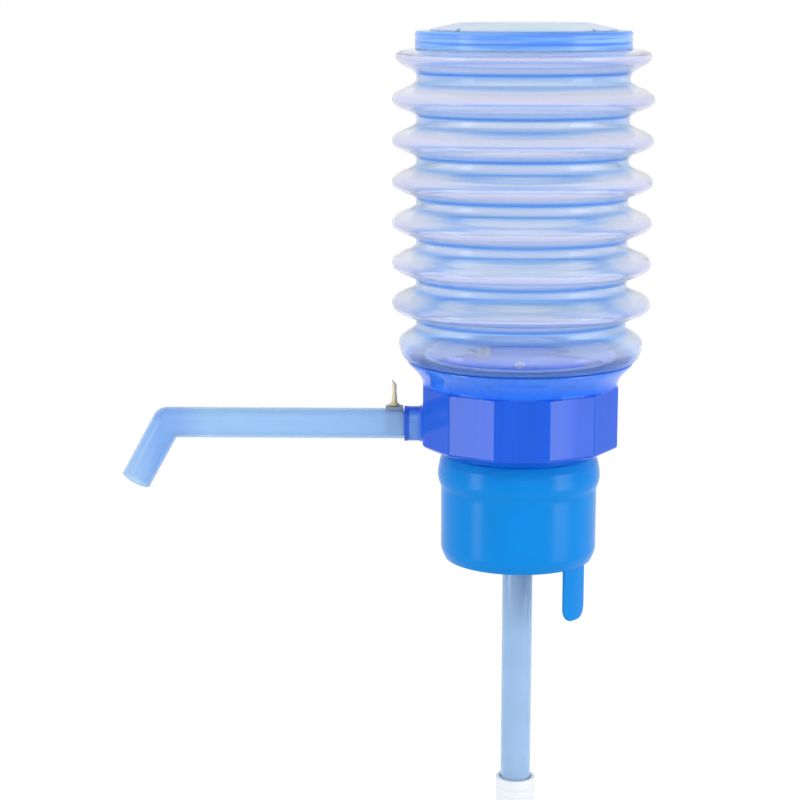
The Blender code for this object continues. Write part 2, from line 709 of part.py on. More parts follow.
def make_palm_disc(material, carrier):
    """The raised disc, hollow over the well, with a spigot in it and air slots under its edge."""
    seat = CAP_TOP + GAP
    top = seat + DISC_HEIGHT
    spigot = WELL_RADIUS - GAP
    outline = [
        (0, top),
        (DISC_TOP_RADIUS, top),
        (DISC_RADIUS, seat + DISC_EDGE),
        (DISC_RADIUS, seat),
        (spigot, seat),
        (spigot, seat - DISC_SPIGOT_DEPTH),
        (spigot - DISC_SPIGOT_WALL, seat - DISC_SPIGOT_DEPTH),
        (spigot - DISC_SPIGOT_WALL, top - DISC_SKIN),
        (0, top - DISC_SKIN),
    ]
    disc = piece("palm_disc", turned(outline), material, carrier=carrier)
    slots = blocks(
        DISC_VENTS,
        spigot - DISC_SPIGOT_WALL - OVERRUN,
        DISC_RADIUS + OVERRUN,
        DISC_VENT_WIDTH,
        seat - DISC_SPIGOT_DEPTH - OVERRUN,
        seat + DISC_VENT_HEIGHT,
    )
    boolean(disc, piece("disc_vent_tool", slots, carrier=carrier), "DIFFERENCE")
    return disc


def make_riser(material):
    """The upright water passage: a barbed tail, a flange on the floor and an arm to the nipple."""
    top = SPOUT_HEIGHT + ARM_RADIUS
    tail = RISER_SHOULDER - TAIL_LENGTH
    outline = [(RISER_BORE, tail), (TAIL_RADIUS - GAP, tail)]
    for barb in range(BARBS):
        crest = tail + (barb + 1 / 2) * BARB_PITCH
        outline.append((TUBE_BORE - GAP, crest))
        outline.append((TAIL_RADIUS, crest + BARB_PITCH * BARB_STEP_SHARE))
    outline += [
        (TAIL_RADIUS, RISER_SHOULDER),
        (RISER_RADIUS, RISER_SHOULDER),
        (RISER_RADIUS, FLOOR_TOP + GAP),
        (RISER_FLANGE_RADIUS, FLOOR_TOP + GAP),
        (RISER_FLANGE_RADIUS, FLOOR_TOP + GAP + RISER_FLANGE),
        (RISER_RADIUS, FLOOR_TOP + GAP + RISER_FLANGE),
        (RISER_RADIUS, top),
        (0, top),
        (0, top - RISER_TOP_WALL),
        (RISER_BORE, top - RISER_TOP_WALL),
    ]
    riser = piece("riser_tube", turned(outline, SMALL_STEPS), material)
    along = (0, 0, SPOUT_HEIGHT)
    arm = rods([(0, 0)], ARM_RADIUS, RISER_BORE + OVERLAP, ARM_REACH)
    boolean(riser, piece("riser_arm_tool", arm, place=along, tilt=ALONG_SPOUT), "UNION")
    bore = turned([
        (0, 0),
        (NIPPLE_BORE, 0),
        (NIPPLE_BORE, ARM_SEAT),
        (SOCKET_BORE, ARM_SEAT),
        (SOCKET_BORE, ARM_REACH + OVERRUN),
        (0, ARM_REACH + OVERRUN),
    ], SMALL_STEPS)
    boolean(riser, piece("riser_bore_tool", bore, place=along, tilt=ALONG_SPOUT), "DIFFERENCE")
    return riser


def make_riser_nut(material):
    """The six-sided nut that holds the riser under the floor."""
    low = HOUSING_FOOT - GAP - RISER_NUT_HEIGHT
    high = HOUSING_FOOT - GAP
    apothem = RISER_FLANGE_RADIUS * math.cos(math.pi / RISER_NUT_SIDES)
    outline = [
        (RISER_HOLE, low),
        (apothem, low, RISER_NUT_SIDES),
        (apothem, high, RISER_NUT_SIDES),
        (RISER_HOLE, high),
    ]
    return piece("riser_nut", turned(outline, RING_STEPS), material)


def seal_places():
    """Distances along the spout's axis of the three seals: in the riser's arm, and beside the vent."""
    return [
        ("nipple_o_ring", ARM_SEAT + ARM_GRIP / 2),
        ("spout_o_ring_inner", PIN_REACH - SEAL_SPREAD),
        ("spout_o_ring_outer", PIN_REACH + SEAL_SPREAD),
    ]


def groove(centre, width, depth):
    """The four points of a square groove in the nipple's outer line."""
    low = centre - width / 2
    high = centre + width / 2
    floor = NIPPLE_RADIUS - depth
    return [(NIPPLE_RADIUS, low), (floor, low), (floor, high), (NIPPLE_RADIUS, high)]


def make_nipple(material):
    """The level pipe through the socket, with a flange inside the wall, grooves and a bleed hole."""
    flange_face = math.sqrt(HOUSING_BORE**2 - NIPPLE_FLANGE_RADIUS**2) - GAP
    arm, inner, outer = [groove(place, SEAL_WIDTH, SEAL_DEPTH) for _, place in seal_places()]
    root = ARM_SEAT + GAP
    outline = [(NIPPLE_BORE, root), (NIPPLE_RADIUS, root), *arm]
    outline += [
        (NIPPLE_RADIUS, flange_face - NIPPLE_FLANGE),
        (NIPPLE_FLANGE_RADIUS, flange_face - NIPPLE_FLANGE),
        (NIPPLE_FLANGE_RADIUS, flange_face),
        (NIPPLE_RADIUS, flange_face),
    ]
    outline += inner + groove(PIN_REACH, GALLERY_WIDTH, GALLERY_DEPTH) + outer
    outline += [(NIPPLE_RADIUS, NIPPLE_TIP), (NIPPLE_BORE, NIPPLE_TIP)]
    along = (0, 0, SPOUT_HEIGHT)
    nipple = piece("outlet_nipple", turned(outline, SMALL_STEPS), material, along, ALONG_SPOUT)
    low = SPOUT_HEIGHT + NIPPLE_BORE / 2
    high = SPOUT_HEIGHT + NIPPLE_RADIUS
    bleed = rods([(-PIN_REACH, 0)], BLEED_RADIUS, low, high, HOLE_STEPS)
    boolean(nipple, piece("bleed_tool", bleed), "DIFFERENCE")
    return nipple


def make_seals(material):
    """The three round-section seals in the nipple's grooves."""
    middle = NIPPLE_RADIUS - SEAL_SECTION
    for name, place in seal_places():
        outline = []
        for point in range(SEAL_POINTS):
            angle = math.tau * point / SEAL_POINTS
            reach = middle + SEAL_SECTION * math.cos(angle)
            outline.append((reach, place + SEAL_SECTION * math.sin(angle)))
        piece(name, turned(outline, RING_STEPS), material, (0, 0, SPOUT_HEIGHT), ALONG_SPOUT)


def spout_loops(bm, radius):
    """Loops along the spout: straight, a corner round outside and mitred inside, and the leg."""
    side = Vector((0, 1, 0))
    corner = Vector((-SPOUT_CORNER, 0, 0))
    tip = corner + Vector((-math.cos(SPOUT_BEND), 0, -math.sin(SPOUT_BEND))) * SPOUT_LEG
    root = Vector((-SPOUT_ROOT, 0, 0))
    stations = [(root, 0, False)]
    stations += [(corner, SPOUT_BEND * fan / SPOUT_FANS, True) for fan in range(SPOUT_FANS + 1)]
    stations += [(tip, SPOUT_BEND, False)]
    loops = []
    for centre, turn, at_corner in stations:
        up = Vector((-math.sin(turn), 0, math.cos(turn)))
        loop = []
        for step in range(SMALL_STEPS):
            angle = math.tau * step / SMALL_STEPS
            height = radius * math.cos(angle)
            place = centre + up * height + side * radius * math.sin(angle)
            if at_corner and height < 0:
                place = centre + side * radius * math.sin(angle)
                place += Vector((-height * math.tan(SPOUT_BEND / 2), 0, height))
            loop.append(bm.verts.new(place))
        loops.append(loop)
    return loops


def make_spout(material, carrier):
    """The spout: one bent tube, with the vent's hole in its top."""
    bm = bmesh.new()
    outside = spout_loops(bm, SPOUT_RADIUS)
    inside = spout_loops(bm, SPOUT_BORE)
    for loops in (outside, inside):
        for first, second in zip(loops, loops[1:]):
            bridge(bm, first, second)
    bridge(bm, outside[0], inside[0])
    bridge(bm, outside[-1], inside[-1])
    bmesh.ops.remove_doubles(bm, verts=bm.verts, dist=WELD)
    bmesh.ops.recalc_face_normals(bm, faces=bm.faces)
    spout = piece("spout_tube", bm, material, (0, 0, SPOUT_HEIGHT), carrier=carrier)
    hole = rods([(0, 0)], PIN_HOLE, SPOUT_BORE - OVERRUN / 2, SPOUT_RADIUS + OVERRUN, HOLE_STEPS)
    place = (-PIN_REACH, 0, SPOUT_HEIGHT)
    boolean(spout, piece("vent_hole_tool", hole, place=place, carrier=carrier), "DIFFERENCE")
    return spout


def make_saddle(material, carrier):
    """The pin's foot: a small block with rounded edges, hollowed to sit on the spout."""
    bm = bmesh.new()
    bmesh.ops.create_cube(bm, size=1)
    bmesh.ops.scale(bm, vec=(SADDLE_LENGTH, SADDLE_WIDTH, SADDLE_TOP - SPOUT_BORE), verts=bm.verts)
    middle = (SADDLE_TOP + SPOUT_BORE) / 2
    bmesh.ops.translate(bm, vec=(0, 0, middle), verts=bm.verts)
    bmesh.ops.bevel(
        bm, geom=bm.edges, offset=SADDLE_ROUND, segments=2, profile=0.5, affect="EDGES"
    )
    place = (-PIN_REACH, 0, SPOUT_HEIGHT)
    saddle = piece("vent_saddle", bm, material, place, carrier=carrier)
    hollow = rods([(0, 0)], SPOUT_RADIUS + GAP, -SADDLE_LENGTH, SADDLE_LENGTH, ROUND_STEPS)
    tool = piece("saddle_hollow_tool", hollow, None, place, ALONG_SPOUT, carrier)
    boolean(saddle, tool, "DIFFERENCE")
    hole = rods([(0, 0)], PIN_HOLE, SPOUT_BORE, SADDLE_TOP + OVERRUN, HOLE_STEPS)
    boolean(saddle, piece("saddle_hole_tool", hole, place=place, carrier=carrier), "DIFFERENCE")
    return saddle


def make_pin(material, carrier):
    """The vent pin: a stem in the spout's wall, a coned flange, a shaft and a small tip."""
    stem = SPOUT_BORE + GAP
    seat = SADDLE_TOP + GAP
    top = seat + PIN_HEIGHT
    outline = [
        (0, stem),
        (PIN_STEM_RADIUS, stem),
        (PIN_STEM_RADIUS, seat),
        (PIN_FLANGE_RADIUS, seat),
        (PIN_FLANGE_RADIUS, seat + PIN_FLANGE),
        (PIN_RADIUS, seat + PIN_CONE),
        (PIN_RADIUS, top - PIN_TIP),
        (PIN_TIP_RADIUS, top),
        (0, top),
    ]
    place = (-PIN_REACH, 0, SPOUT_HEIGHT)
    return piece("vent_pin", turned(outline, RING_STEPS), material, place, carrier=carrier)


def make_dip_tube(tube_material, coupler_material):
    """Three tube sections end to end, a sleeve over each joint, and a notched foot."""
    sleeve_bore = TUBE_RADIUS + GAP
    sleeve = sleeve_bore + COUPLER_WALL
    top = RISER_SHOULDER - GAP
    for number, name in enumerate(("upper", "middle", "lower")):
        bottom = top - TUBE_SECTION
        tube = band(TUBE_BORE, TUBE_RADIUS, bottom, top, SMALL_STEPS)
        piece(f"dip_tube_{name}", tube, tube_material)
        stop_top = bottom - GAP
        top = stop_top - COUPLER_STOP - GAP
        if number == 2:
            continue
        middle = stop_top - COUPLER_STOP / 2
        low = middle - COUPLER_LENGTH / 2
        high = middle + COUPLER_LENGTH / 2
        outline = [
            (sleeve_bore, low),
            (sleeve, low),
            (sleeve, high),
            (sleeve_bore, high),
            (sleeve_bore, stop_top),
            (TUBE_BORE, stop_top),
            (TUBE_BORE, stop_top - COUPLER_STOP),
            (sleeve_bore, stop_top - COUPLER_STOP),
        ]
        label = ("upper", "lower")[number]
        piece(f"tube_coupler_{label}", turned(outline, SMALL_STEPS), coupler_material)
    grip_top = stop_top + FOOT_GRIP
    foot_bottom = grip_top - FOOT_LENGTH
    outline = [
        (TUBE_BORE, foot_bottom),
        (sleeve, foot_bottom),
        (sleeve, grip_top),
        (sleeve_bore, grip_top),
        (sleeve_bore, stop_top),
        (TUBE_BORE, stop_top),
    ]
    foot = piece("tube_foot", turned(outline, SMALL_STEPS), coupler_material)
    notches = blocks(
        FOOT_NOTCHES,
        TUBE_BORE / 2,
        sleeve + OVERRUN,
        FOOT_NOTCH_WIDTH,
        foot_bottom - OVERRUN,
        foot_bottom + FOOT_NOTCH_DEPTH,
    )
    boolean(foot, piece("foot_notch_tool", notches), "DIFFERENCE")


def main():
    for thing in list(bpy.data.objects):
        bpy.data.objects.remove(thing, do_unlink=True)

    pale_blue = finish("palm_disc_plastic", (0.60, 0.77, 0.97), 0.25, 0.3)
    cap_blue = finish("cap_plastic", (0.16, 0.42, 0.96), 0.22, 0.2)
    bellows_film = finish("bellows_film", (0.52, 0.58, 0.93), 0.3, 0.5)
    deep_blue = finish("housing_plastic", (0.02, 0.13, 0.82), 0.18, 0.2)
    cyan = finish("collar_plastic", (0.01, 0.27, 0.80), 0.35)
    spout_blue = finish("spout_plastic", (0.33, 0.53, 0.90), 0.25, 0.4)
    inner_blue = finish("inner_plastic", (0.05, 0.20, 0.75), 0.4)
    white = finish("white_plastic", (0.80, 0.84, 0.90), 0.45)
    rubber = finish("seal_rubber", (0.05, 0.05, 0.06), 0.7)
    silicone = finish("valve_silicone", (0.75, 0.78, 0.80), 0.6)
    grey = finish("saddle_plastic", (0.22, 0.28, 0.38), 0.45)
    tan = finish("pin_plastic", (0.72, 0.62, 0.33), 0.4)
    tube_film = finish("tube_plastic", (0.55, 0.68, 0.82), 0.25, 0.4)
    steel = finish("screw_steel", (0.60, 0.61, 0.63), 0.3, 0.0, 1.0)

    cap_axis = axis_empty("cap_press_axis", (0, 0, CAP_TOP))
    inlet_axis = axis_empty("inlet_valve_axis", (0, 0, WELL_UNDERSIDE), cap_axis)
    outlet_axis = axis_empty("outlet_valve_axis", (0, 0, PLATE_BOTTOM))
    spout_axis = axis_empty("spout_swivel_axis", (-SPOUT_ROOT, 0, SPOUT_HEIGHT))

    make_cap(cap_blue, cap_axis)
    make_palm_disc(pale_blue, cap_axis)
    make_clamp_rings(white, cap_axis)
    make_bellows(bellows_film)
    make_housing(deep_blue)
    make_valve_plate(inner_blue)
    make_screws(steel)
    make_mushroom("outlet_valve", PLATE_BOTTOM, PLATE_THICKNESS, silicone, outlet_axis)
    make_mushroom("inlet_valve", WELL_UNDERSIDE, WELL_FLOOR, silicone, inlet_axis)
    make_riser(inner_blue)
    make_riser_nut(white)
    make_nipple(inner_blue)
    make_seals(rubber)
    make_spout(spout_blue, spout_axis)
    make_saddle(grey, spout_axis)
    make_pin(tan, spout_axis)
    make_collar(cyan)
    piece(
        "neck_gasket",
        band(NECK_BORE, NECK_RADIUS, 0, GASKET_THICKNESS),
        rubber,
    )
    make_collar_nut(white)
    make_dip_tube(tube_film, white)


main()
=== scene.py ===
import math

import bmesh
import bpy
from mathutils import Matrix, Vector


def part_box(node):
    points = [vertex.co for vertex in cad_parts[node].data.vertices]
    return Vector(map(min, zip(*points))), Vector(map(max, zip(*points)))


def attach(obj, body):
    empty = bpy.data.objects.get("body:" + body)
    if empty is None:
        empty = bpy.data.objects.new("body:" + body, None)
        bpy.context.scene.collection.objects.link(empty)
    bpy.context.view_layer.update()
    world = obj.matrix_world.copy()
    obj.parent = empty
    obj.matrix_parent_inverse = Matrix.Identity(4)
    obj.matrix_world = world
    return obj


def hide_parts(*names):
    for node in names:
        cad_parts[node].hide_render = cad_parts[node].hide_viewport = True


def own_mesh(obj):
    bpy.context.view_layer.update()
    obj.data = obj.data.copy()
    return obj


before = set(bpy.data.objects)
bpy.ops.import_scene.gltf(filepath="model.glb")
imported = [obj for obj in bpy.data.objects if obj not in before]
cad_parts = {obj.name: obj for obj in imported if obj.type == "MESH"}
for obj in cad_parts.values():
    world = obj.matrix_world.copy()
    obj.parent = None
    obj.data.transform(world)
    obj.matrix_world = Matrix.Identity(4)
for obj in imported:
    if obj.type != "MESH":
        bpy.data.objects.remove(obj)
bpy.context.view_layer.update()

# Camera: the photograph's viewing angle
CAMERA_DISTANCE = 0.7864
CAMERA_HEIGHT = 0.1792
CAMERA_AZIMUTH = math.radians(-92.0)
CAMERA_YAW = math.radians(1.403)
CAMERA_PITCH = math.radians(11.24)
SENSOR_WIDTH = 36
PICTURE_PIXELS = 800
FOCAL_PIXELS = 2049.3

# Stage: PLAIN and LIGHT are what light meets, and SHADED, GLOW and SEEN what the camera meets
FLOOR_SIZE = 12
FLOOR_PLAIN = (0.80, 0.80, 0.80, 1)
FLOOR_SHADED = (0.60, 0.60, 0.61, 1)
FLOOR_GLOW = 0.63
WHITE = (1, 1, 1, 1)
WORLD_LIGHT = 0.62
WORLD_SEEN = 1.0

# Corners round a turned shape, and the angle from which an edge stays sharp
ROUND = 128
BELLOWS_ROUND = 112
HOLLOW_ROUND = 96
PIPE_ROUND = 64
SMALL_ROUND = 48
PILLAR_ROUND = 36
PIN_ROUND = 32
HOLE_ROUND = 24
SHARP_ANGLE = math.radians(38)

# Levels, radii, reaches and counts that the CAD model gives
GAP = 0.0003
RIM_TOP = 0.0397
RIM_RADIUS = 0.0438
FOOT = 0.0029
SIDES = 12
APOTHEM = 0.0376
BORE = 0.03545
AIR_HOLES = 6
AIR_HOLE_REACH = 0.0115
SCREWS = 3
SCREW_REACH = 0.02795
SPIGOT_LOW = -0.0090
SPOUT_HEIGHT = 0.0137
SPOUT_RADIUS = 0.0060
SPOUT_BORE = 0.0050
SPOUT_ROOT = 0.0453
SPOUT_CORNER = 0.1382
SPOUT_LEG = 0.0265
SPOUT_BEND = math.radians(61.2)
SOCKET_REACH = 0.0450
SOCKET_RADIUS = 0.0068
SOCKET_LIP = 0.00695
PIN_REACH = 0.0489
SADDLE_RISE = 0.0010
VENT_RADIUS = 0.0010
CAP_TOP = 0.1652
CAP_HOLE_REACH = 0.0058
CAP_RADIUS = 0.0411
GROOVE_RADIUS = 0.0409
SKIRT_LOW = 0.15855
DISC_SLOTS = 4
COLLAR_RADIUS = 0.0305
HEM = -0.0395
TAB_LOW = -0.0605

# The bellows: its two necks, where each is cut from the ribbed wall, and its ribs
SHOULDER = 0.0400
CROWN = 0.1585
NECK_LOW = 0.0365
NECK_HIGH = 0.1629
WALL = 0.0010
BELLOWS_FOOT_CUT = 0.0425
BELLOWS_CROWN_CUT = 0.0405
SEAM = 0.00002
LOWEST_CREST = RIM_TOP + 0.0065
RIB_PITCH = 0.0156
TOP_PITCH = 0.0160
VALLEY = RIM_RADIUS - 0.0032
LOWEST_DEPTH = 0.0065
RIB_DEPTH = 0.0092
TOP_DEPTH = 0.0077

# The dip tube
TUBE_TOP = -0.0005
TUBE_SECTION = 0.1420
TUBE_RADIUS = 0.0060
TUBE_BORE = 0.0050
STOP = 0.0020
SLEEVE_HALF = 0.0120
SLEEVE_RADIUS = 0.0078
SLEEVE_BORE = 0.0063
GRIP_RADIUS = 0.0075
FOOT_GRIP = 0.0100
FOOT_TALL = 0.0200
NOTCHES = 4

# Plastics: how far red, green and blue light scatter inside, and how deep the moulded grain is
SCATTER = (0.004, 0.006, 0.012)
GRAIN_DEPTH = 0.0004


# ---------------------------------------------------------------- shapes

def even_angles(count):
    """Evenly spaced angles that lie half a step off the axes."""
    return [math.tau * (step + 1 / 2) / count for step in range(count)]


def rounded(outline, steps):
    """A closed line from (across, height, corner radius) points, with each corner made round."""
    count = len(outline)
    line = []
    for index, (across, height, radius) in enumerate(outline):
        here = Vector((across, height))
        if radius == 0:
            line.append(here)
            continue
        before = Vector(outline[index - 1][:2]) - here
        after = Vector(outline[(index + 1) % count][:2]) - here
        reach = radius / math.tan(before.angle(after) / 2)
        reach = min(reach, before.length * 0.49, after.length * 0.49)
        first = here + before.normalized() * reach
        last = here + after.normalized() * reach
        for step in range(steps + 1):
            share = step / steps
            line.append((1 - share) ** 2 * first + 2 * share * (1 - share) * here + share**2 * last)
    return line


def spline(points, steps):
    """A smooth line through points, with so many steps between two of them."""
    points = [Vector(point) for point in points]
    ends = [2 * points[0] - points[1], *points, 2 * points[-1] - points[-2]]
    line = []
    for a, b, c, d in zip(ends, ends[1:], ends[2:], ends[3:]):
        for step in range(steps):
            t = step / steps
            square = (2 * a - 5 * b + 4 * c - d) * t**2
            cube = (3 * b - a - 3 * c + d) * t**3
            line.append(0.5 * (2 * b + (c - a) * t + square + cube))
    line.append(points[-1])
    return line


def offset(line, distance):
    """The same open line moved to its left."""
    moved = []
    for index, here in enumerate(line):
        run = line[min(index + 1, len(line) - 1)] - line[max(index - 1, 0)]
        run.normalize()
        moved.append(here + Vector((-run.y, run.x)) * distance)
    return moved


def linked(name, mesh):
    """An object of a mesh, in the scene."""
    thing = bpy.data.objects.new(name, mesh)
    bpy.context.scene.collection.objects.link(thing)
    return thing


def mesh_object(name, verts, faces):
    """An object of points and faces, with equal points merged and all faces turned outwards."""
    mesh = bpy.data.meshes.new(name)
    mesh.from_pydata(verts, [], faces)
    bm = bmesh.new()
    bm.from_mesh(mesh)
    bmesh.ops.remove_doubles(bm, verts=bm.verts, dist=1e-7)
    bmesh.ops.recalc_face_normals(bm, faces=bm.faces)
    bm.to_mesh(mesh)
    bm.free()
    return linked(name, mesh)


def bands(rows):
    """Faces between each row of point numbers and the next. A row may be one point, repeated."""
    faces = []
    for first, second in zip(rows, rows[1:]):
        if first[0] == first[1] and second[0] == second[1]:
            continue
        for step in range(len(first)):
            following = (step + 1) % len(first)
            corners = (first[step], first[following], second[following], second[step])
            faces.append(list(dict.fromkeys(corners)))
    return faces


def lathe(name, line, angles=None, shape=None):
    """A closed line of (radius, height) points turned about Z.

    shape, where there is one, scales a point's radius by its angle and its place in the line.
    """
    angles = angles or even_angles(ROUND)
    verts, rows = [], []
    for index, (radius, height) in enumerate(line):
        if radius < 1e-7:
            rows.append([len(verts)] * len(angles))
            verts.append((0, 0, height))
            continue
        row = []
        for angle in angles:
            reach = radius * (shape(angle, index) if shape else 1)
            row.append(len(verts))
            verts.append((reach * math.cos(angle), reach * math.sin(angle), height))
        rows.append(row)
    return mesh_object(name, verts, bands(rows + rows[:1]))


def cylinder(name, radius, low, high, steps=SMALL_ROUND):
    return lathe(name, [(0, low), (radius, low), (radius, high), (0, high)], even_angles(steps))


def block(name, size, centre, bevel=0.0, turn=0.0):
    """A box, with bevelled edges if wanted, moved out to its centre and then turned about Z."""
    bm = bmesh.new()
    bmesh.ops.create_cube(bm, size=1)
    bmesh.ops.scale(bm, vec=size, verts=bm.verts)
    if bevel:
        bmesh.ops.bevel(bm, geom=bm.edges, offset=bevel, segments=3, profile=0.5, affect="EDGES")
    bmesh.ops.translate(bm, vec=centre, verts=bm.verts)
    bmesh.ops.rotate(bm, verts=bm.verts, matrix=Matrix.Rotation(turn, 3, "Z"))
    mesh = bpy.data.meshes.new(name)
    bm.to_mesh(mesh)
    bm.free()
    return linked(name, mesh)


def ring(count, reach):
    """For each of some evenly spaced places round Z: its number, and the move to it."""
    for turn in range(count):
        angle = math.tau * turn / count
        yield turn, Matrix.Translation((reach * math.cos(angle), reach * math.sin(angle), 0))


def place(thing, matrix):
    """Moves a mesh, for good."""
    thing.data.transform(matrix)
    return thing


def along_spout(distance=0.0):
    """Turns +Z to point along the spout, and moves to its axis."""
    return Matrix.Translation((-distance, 0, SPOUT_HEIGHT)) @ Matrix.Rotation(-math.pi / 2, 4, "Y")


def carve(body, tools, operation):
    """Joins or cuts a body with tools, for good, and removes the tools."""
    for tool in tools:
        change = body.modifiers.new("carve", "BOOLEAN")
        change.operation = operation
        change.solver = "EXACT"
        change.object = tool
    bpy.context.view_layer.update()
    seen = body.evaluated_get(bpy.context.evaluated_depsgraph_get())
    mesh = bpy.data.meshes.new_from_object(seen)
    body.modifiers.clear()
    old = body.data
    body.data = mesh
    bpy.data.meshes.remove(old)
    mesh.name = body.name
    for tool in tools:
        bpy.data.objects.remove(tool, do_unlink=True)


def dress(thing, body, material, nodes, weighted=False, angle=SHARP_ANGLE):
    """Smooth shading, a material, the body that a piece rides on, and the nodes it stands for."""
    mesh = thing.data
    mesh.materials.clear()
    mesh.materials.append(material)
    mesh.shade_smooth()
    mesh.set_sharp_from_angle(angle=angle)
    if weighted:
        change = thing.modifiers.new("flat_sides", "WEIGHTED_NORMAL")
        change.keep_sharp = True
    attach(thing, body)
    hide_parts(*nodes)


# ---------------------------------------------------------------- materials

def ramp(nodes, links, value, stops, mode="LINEAR"):
    """A colour from a ramp of stops, by a value from 0 to 1."""
    node = nodes.new("ShaderNodeValToRGB")
    node.color_ramp.interpolation = mode
    elements = node.color_ramp.elements
    while len(elements) > 1:
        elements.remove(elements[-1])
    elements[0].position, elements[0].color = stops[0][0], (*stops[0][1], 1)
    for position, colour in stops[1:]:
        elements.new(position).color = (*colour, 1)
    links.new(value, node.inputs["Fac"])
    return node.outputs["Color"]


def mask(nodes, links, value, stops):
    """How much of something shows, by a value from 0 to 1."""
    return ramp(nodes, links, value, [(position, (share,) * 3) for position, share in stops])


def along(nodes, links, axis, low, high, clamp=True):
    """A value from 0 to 1 as a coordinate goes from low to high."""
    where = nodes.new("ShaderNodeTexCoord")
    split = nodes.new("ShaderNodeSeparateXYZ")
    links.new(where.outputs["Object"], split.inputs[0])
    spread = nodes.new("ShaderNodeMapRange")
    spread.clamp = clamp
    spread.inputs["From Min"].default_value = low
    spread.inputs["From Max"].default_value = high
    links.new(split.outputs[axis], spread.inputs["Value"])
    return spread.outputs["Result"]


def height_of(nodes, links, low, high):
    """A value from 0 to 1 as the height goes from low to high."""
    return along(nodes, links, "Z", low, high)


def reach_of(nodes, links, near, far):
    """A value from 0 to 1 as the reach towards the spout's tip goes from near to far."""
    return along(nodes, links, "X", -near, -far)


def rib_of(nodes, links, crest, pitch):
    """A value that goes from 0 to 1 between one crest and the next, and starts again there."""
    part = nodes.new("ShaderNodeMath")
    part.operation = "FRACT"
    links.new(along(nodes, links, "Z", crest, crest + pitch, clamp=False), part.inputs[0])
    return part.outputs[0]


def noise(nodes, links, scale, detail, stretch=(1, 1, 1)):
    """A cloudy value from 0 to 1. A larger stretch makes the clouds narrower along that axis."""
    where = nodes.new("ShaderNodeTexCoord")
    sized = nodes.new("ShaderNodeMapping")
    sized.inputs["Scale"].default_value = stretch
    links.new(where.outputs["Object"], sized.inputs["Vector"])
    cloud = nodes.new("ShaderNodeTexNoise")
    cloud.inputs["Scale"].default_value = scale
    cloud.inputs["Detail"].default_value = detail
    links.new(sized.outputs["Vector"], cloud.inputs["Vector"])
    return cloud.outputs["Fac"]


def combined(nodes, links, operation, first, second):
    """Two values put together by a Math node."""
    node = nodes.new("ShaderNodeMath")
    node.operation = operation
    links.new(first, node.inputs[0])
    links.new(second, node.inputs[1])
    return node.outputs[0]


def multiplied(nodes, links, first, second):
    """Two colours multiplied. The first may be a plain colour instead of a socket."""
    node = nodes.new("ShaderNodeMix")
    node.data_type = "RGBA"
    node.blend_type = "MULTIPLY"
    node.inputs["Factor"].default_value = 1.0
    if isinstance(first, tuple):
        node.inputs["A"].default_value = (*first, 1)
    else:
        links.new(first, node.inputs["A"])
    links.new(second, node.inputs["B"])
    return node.outputs["Result"]


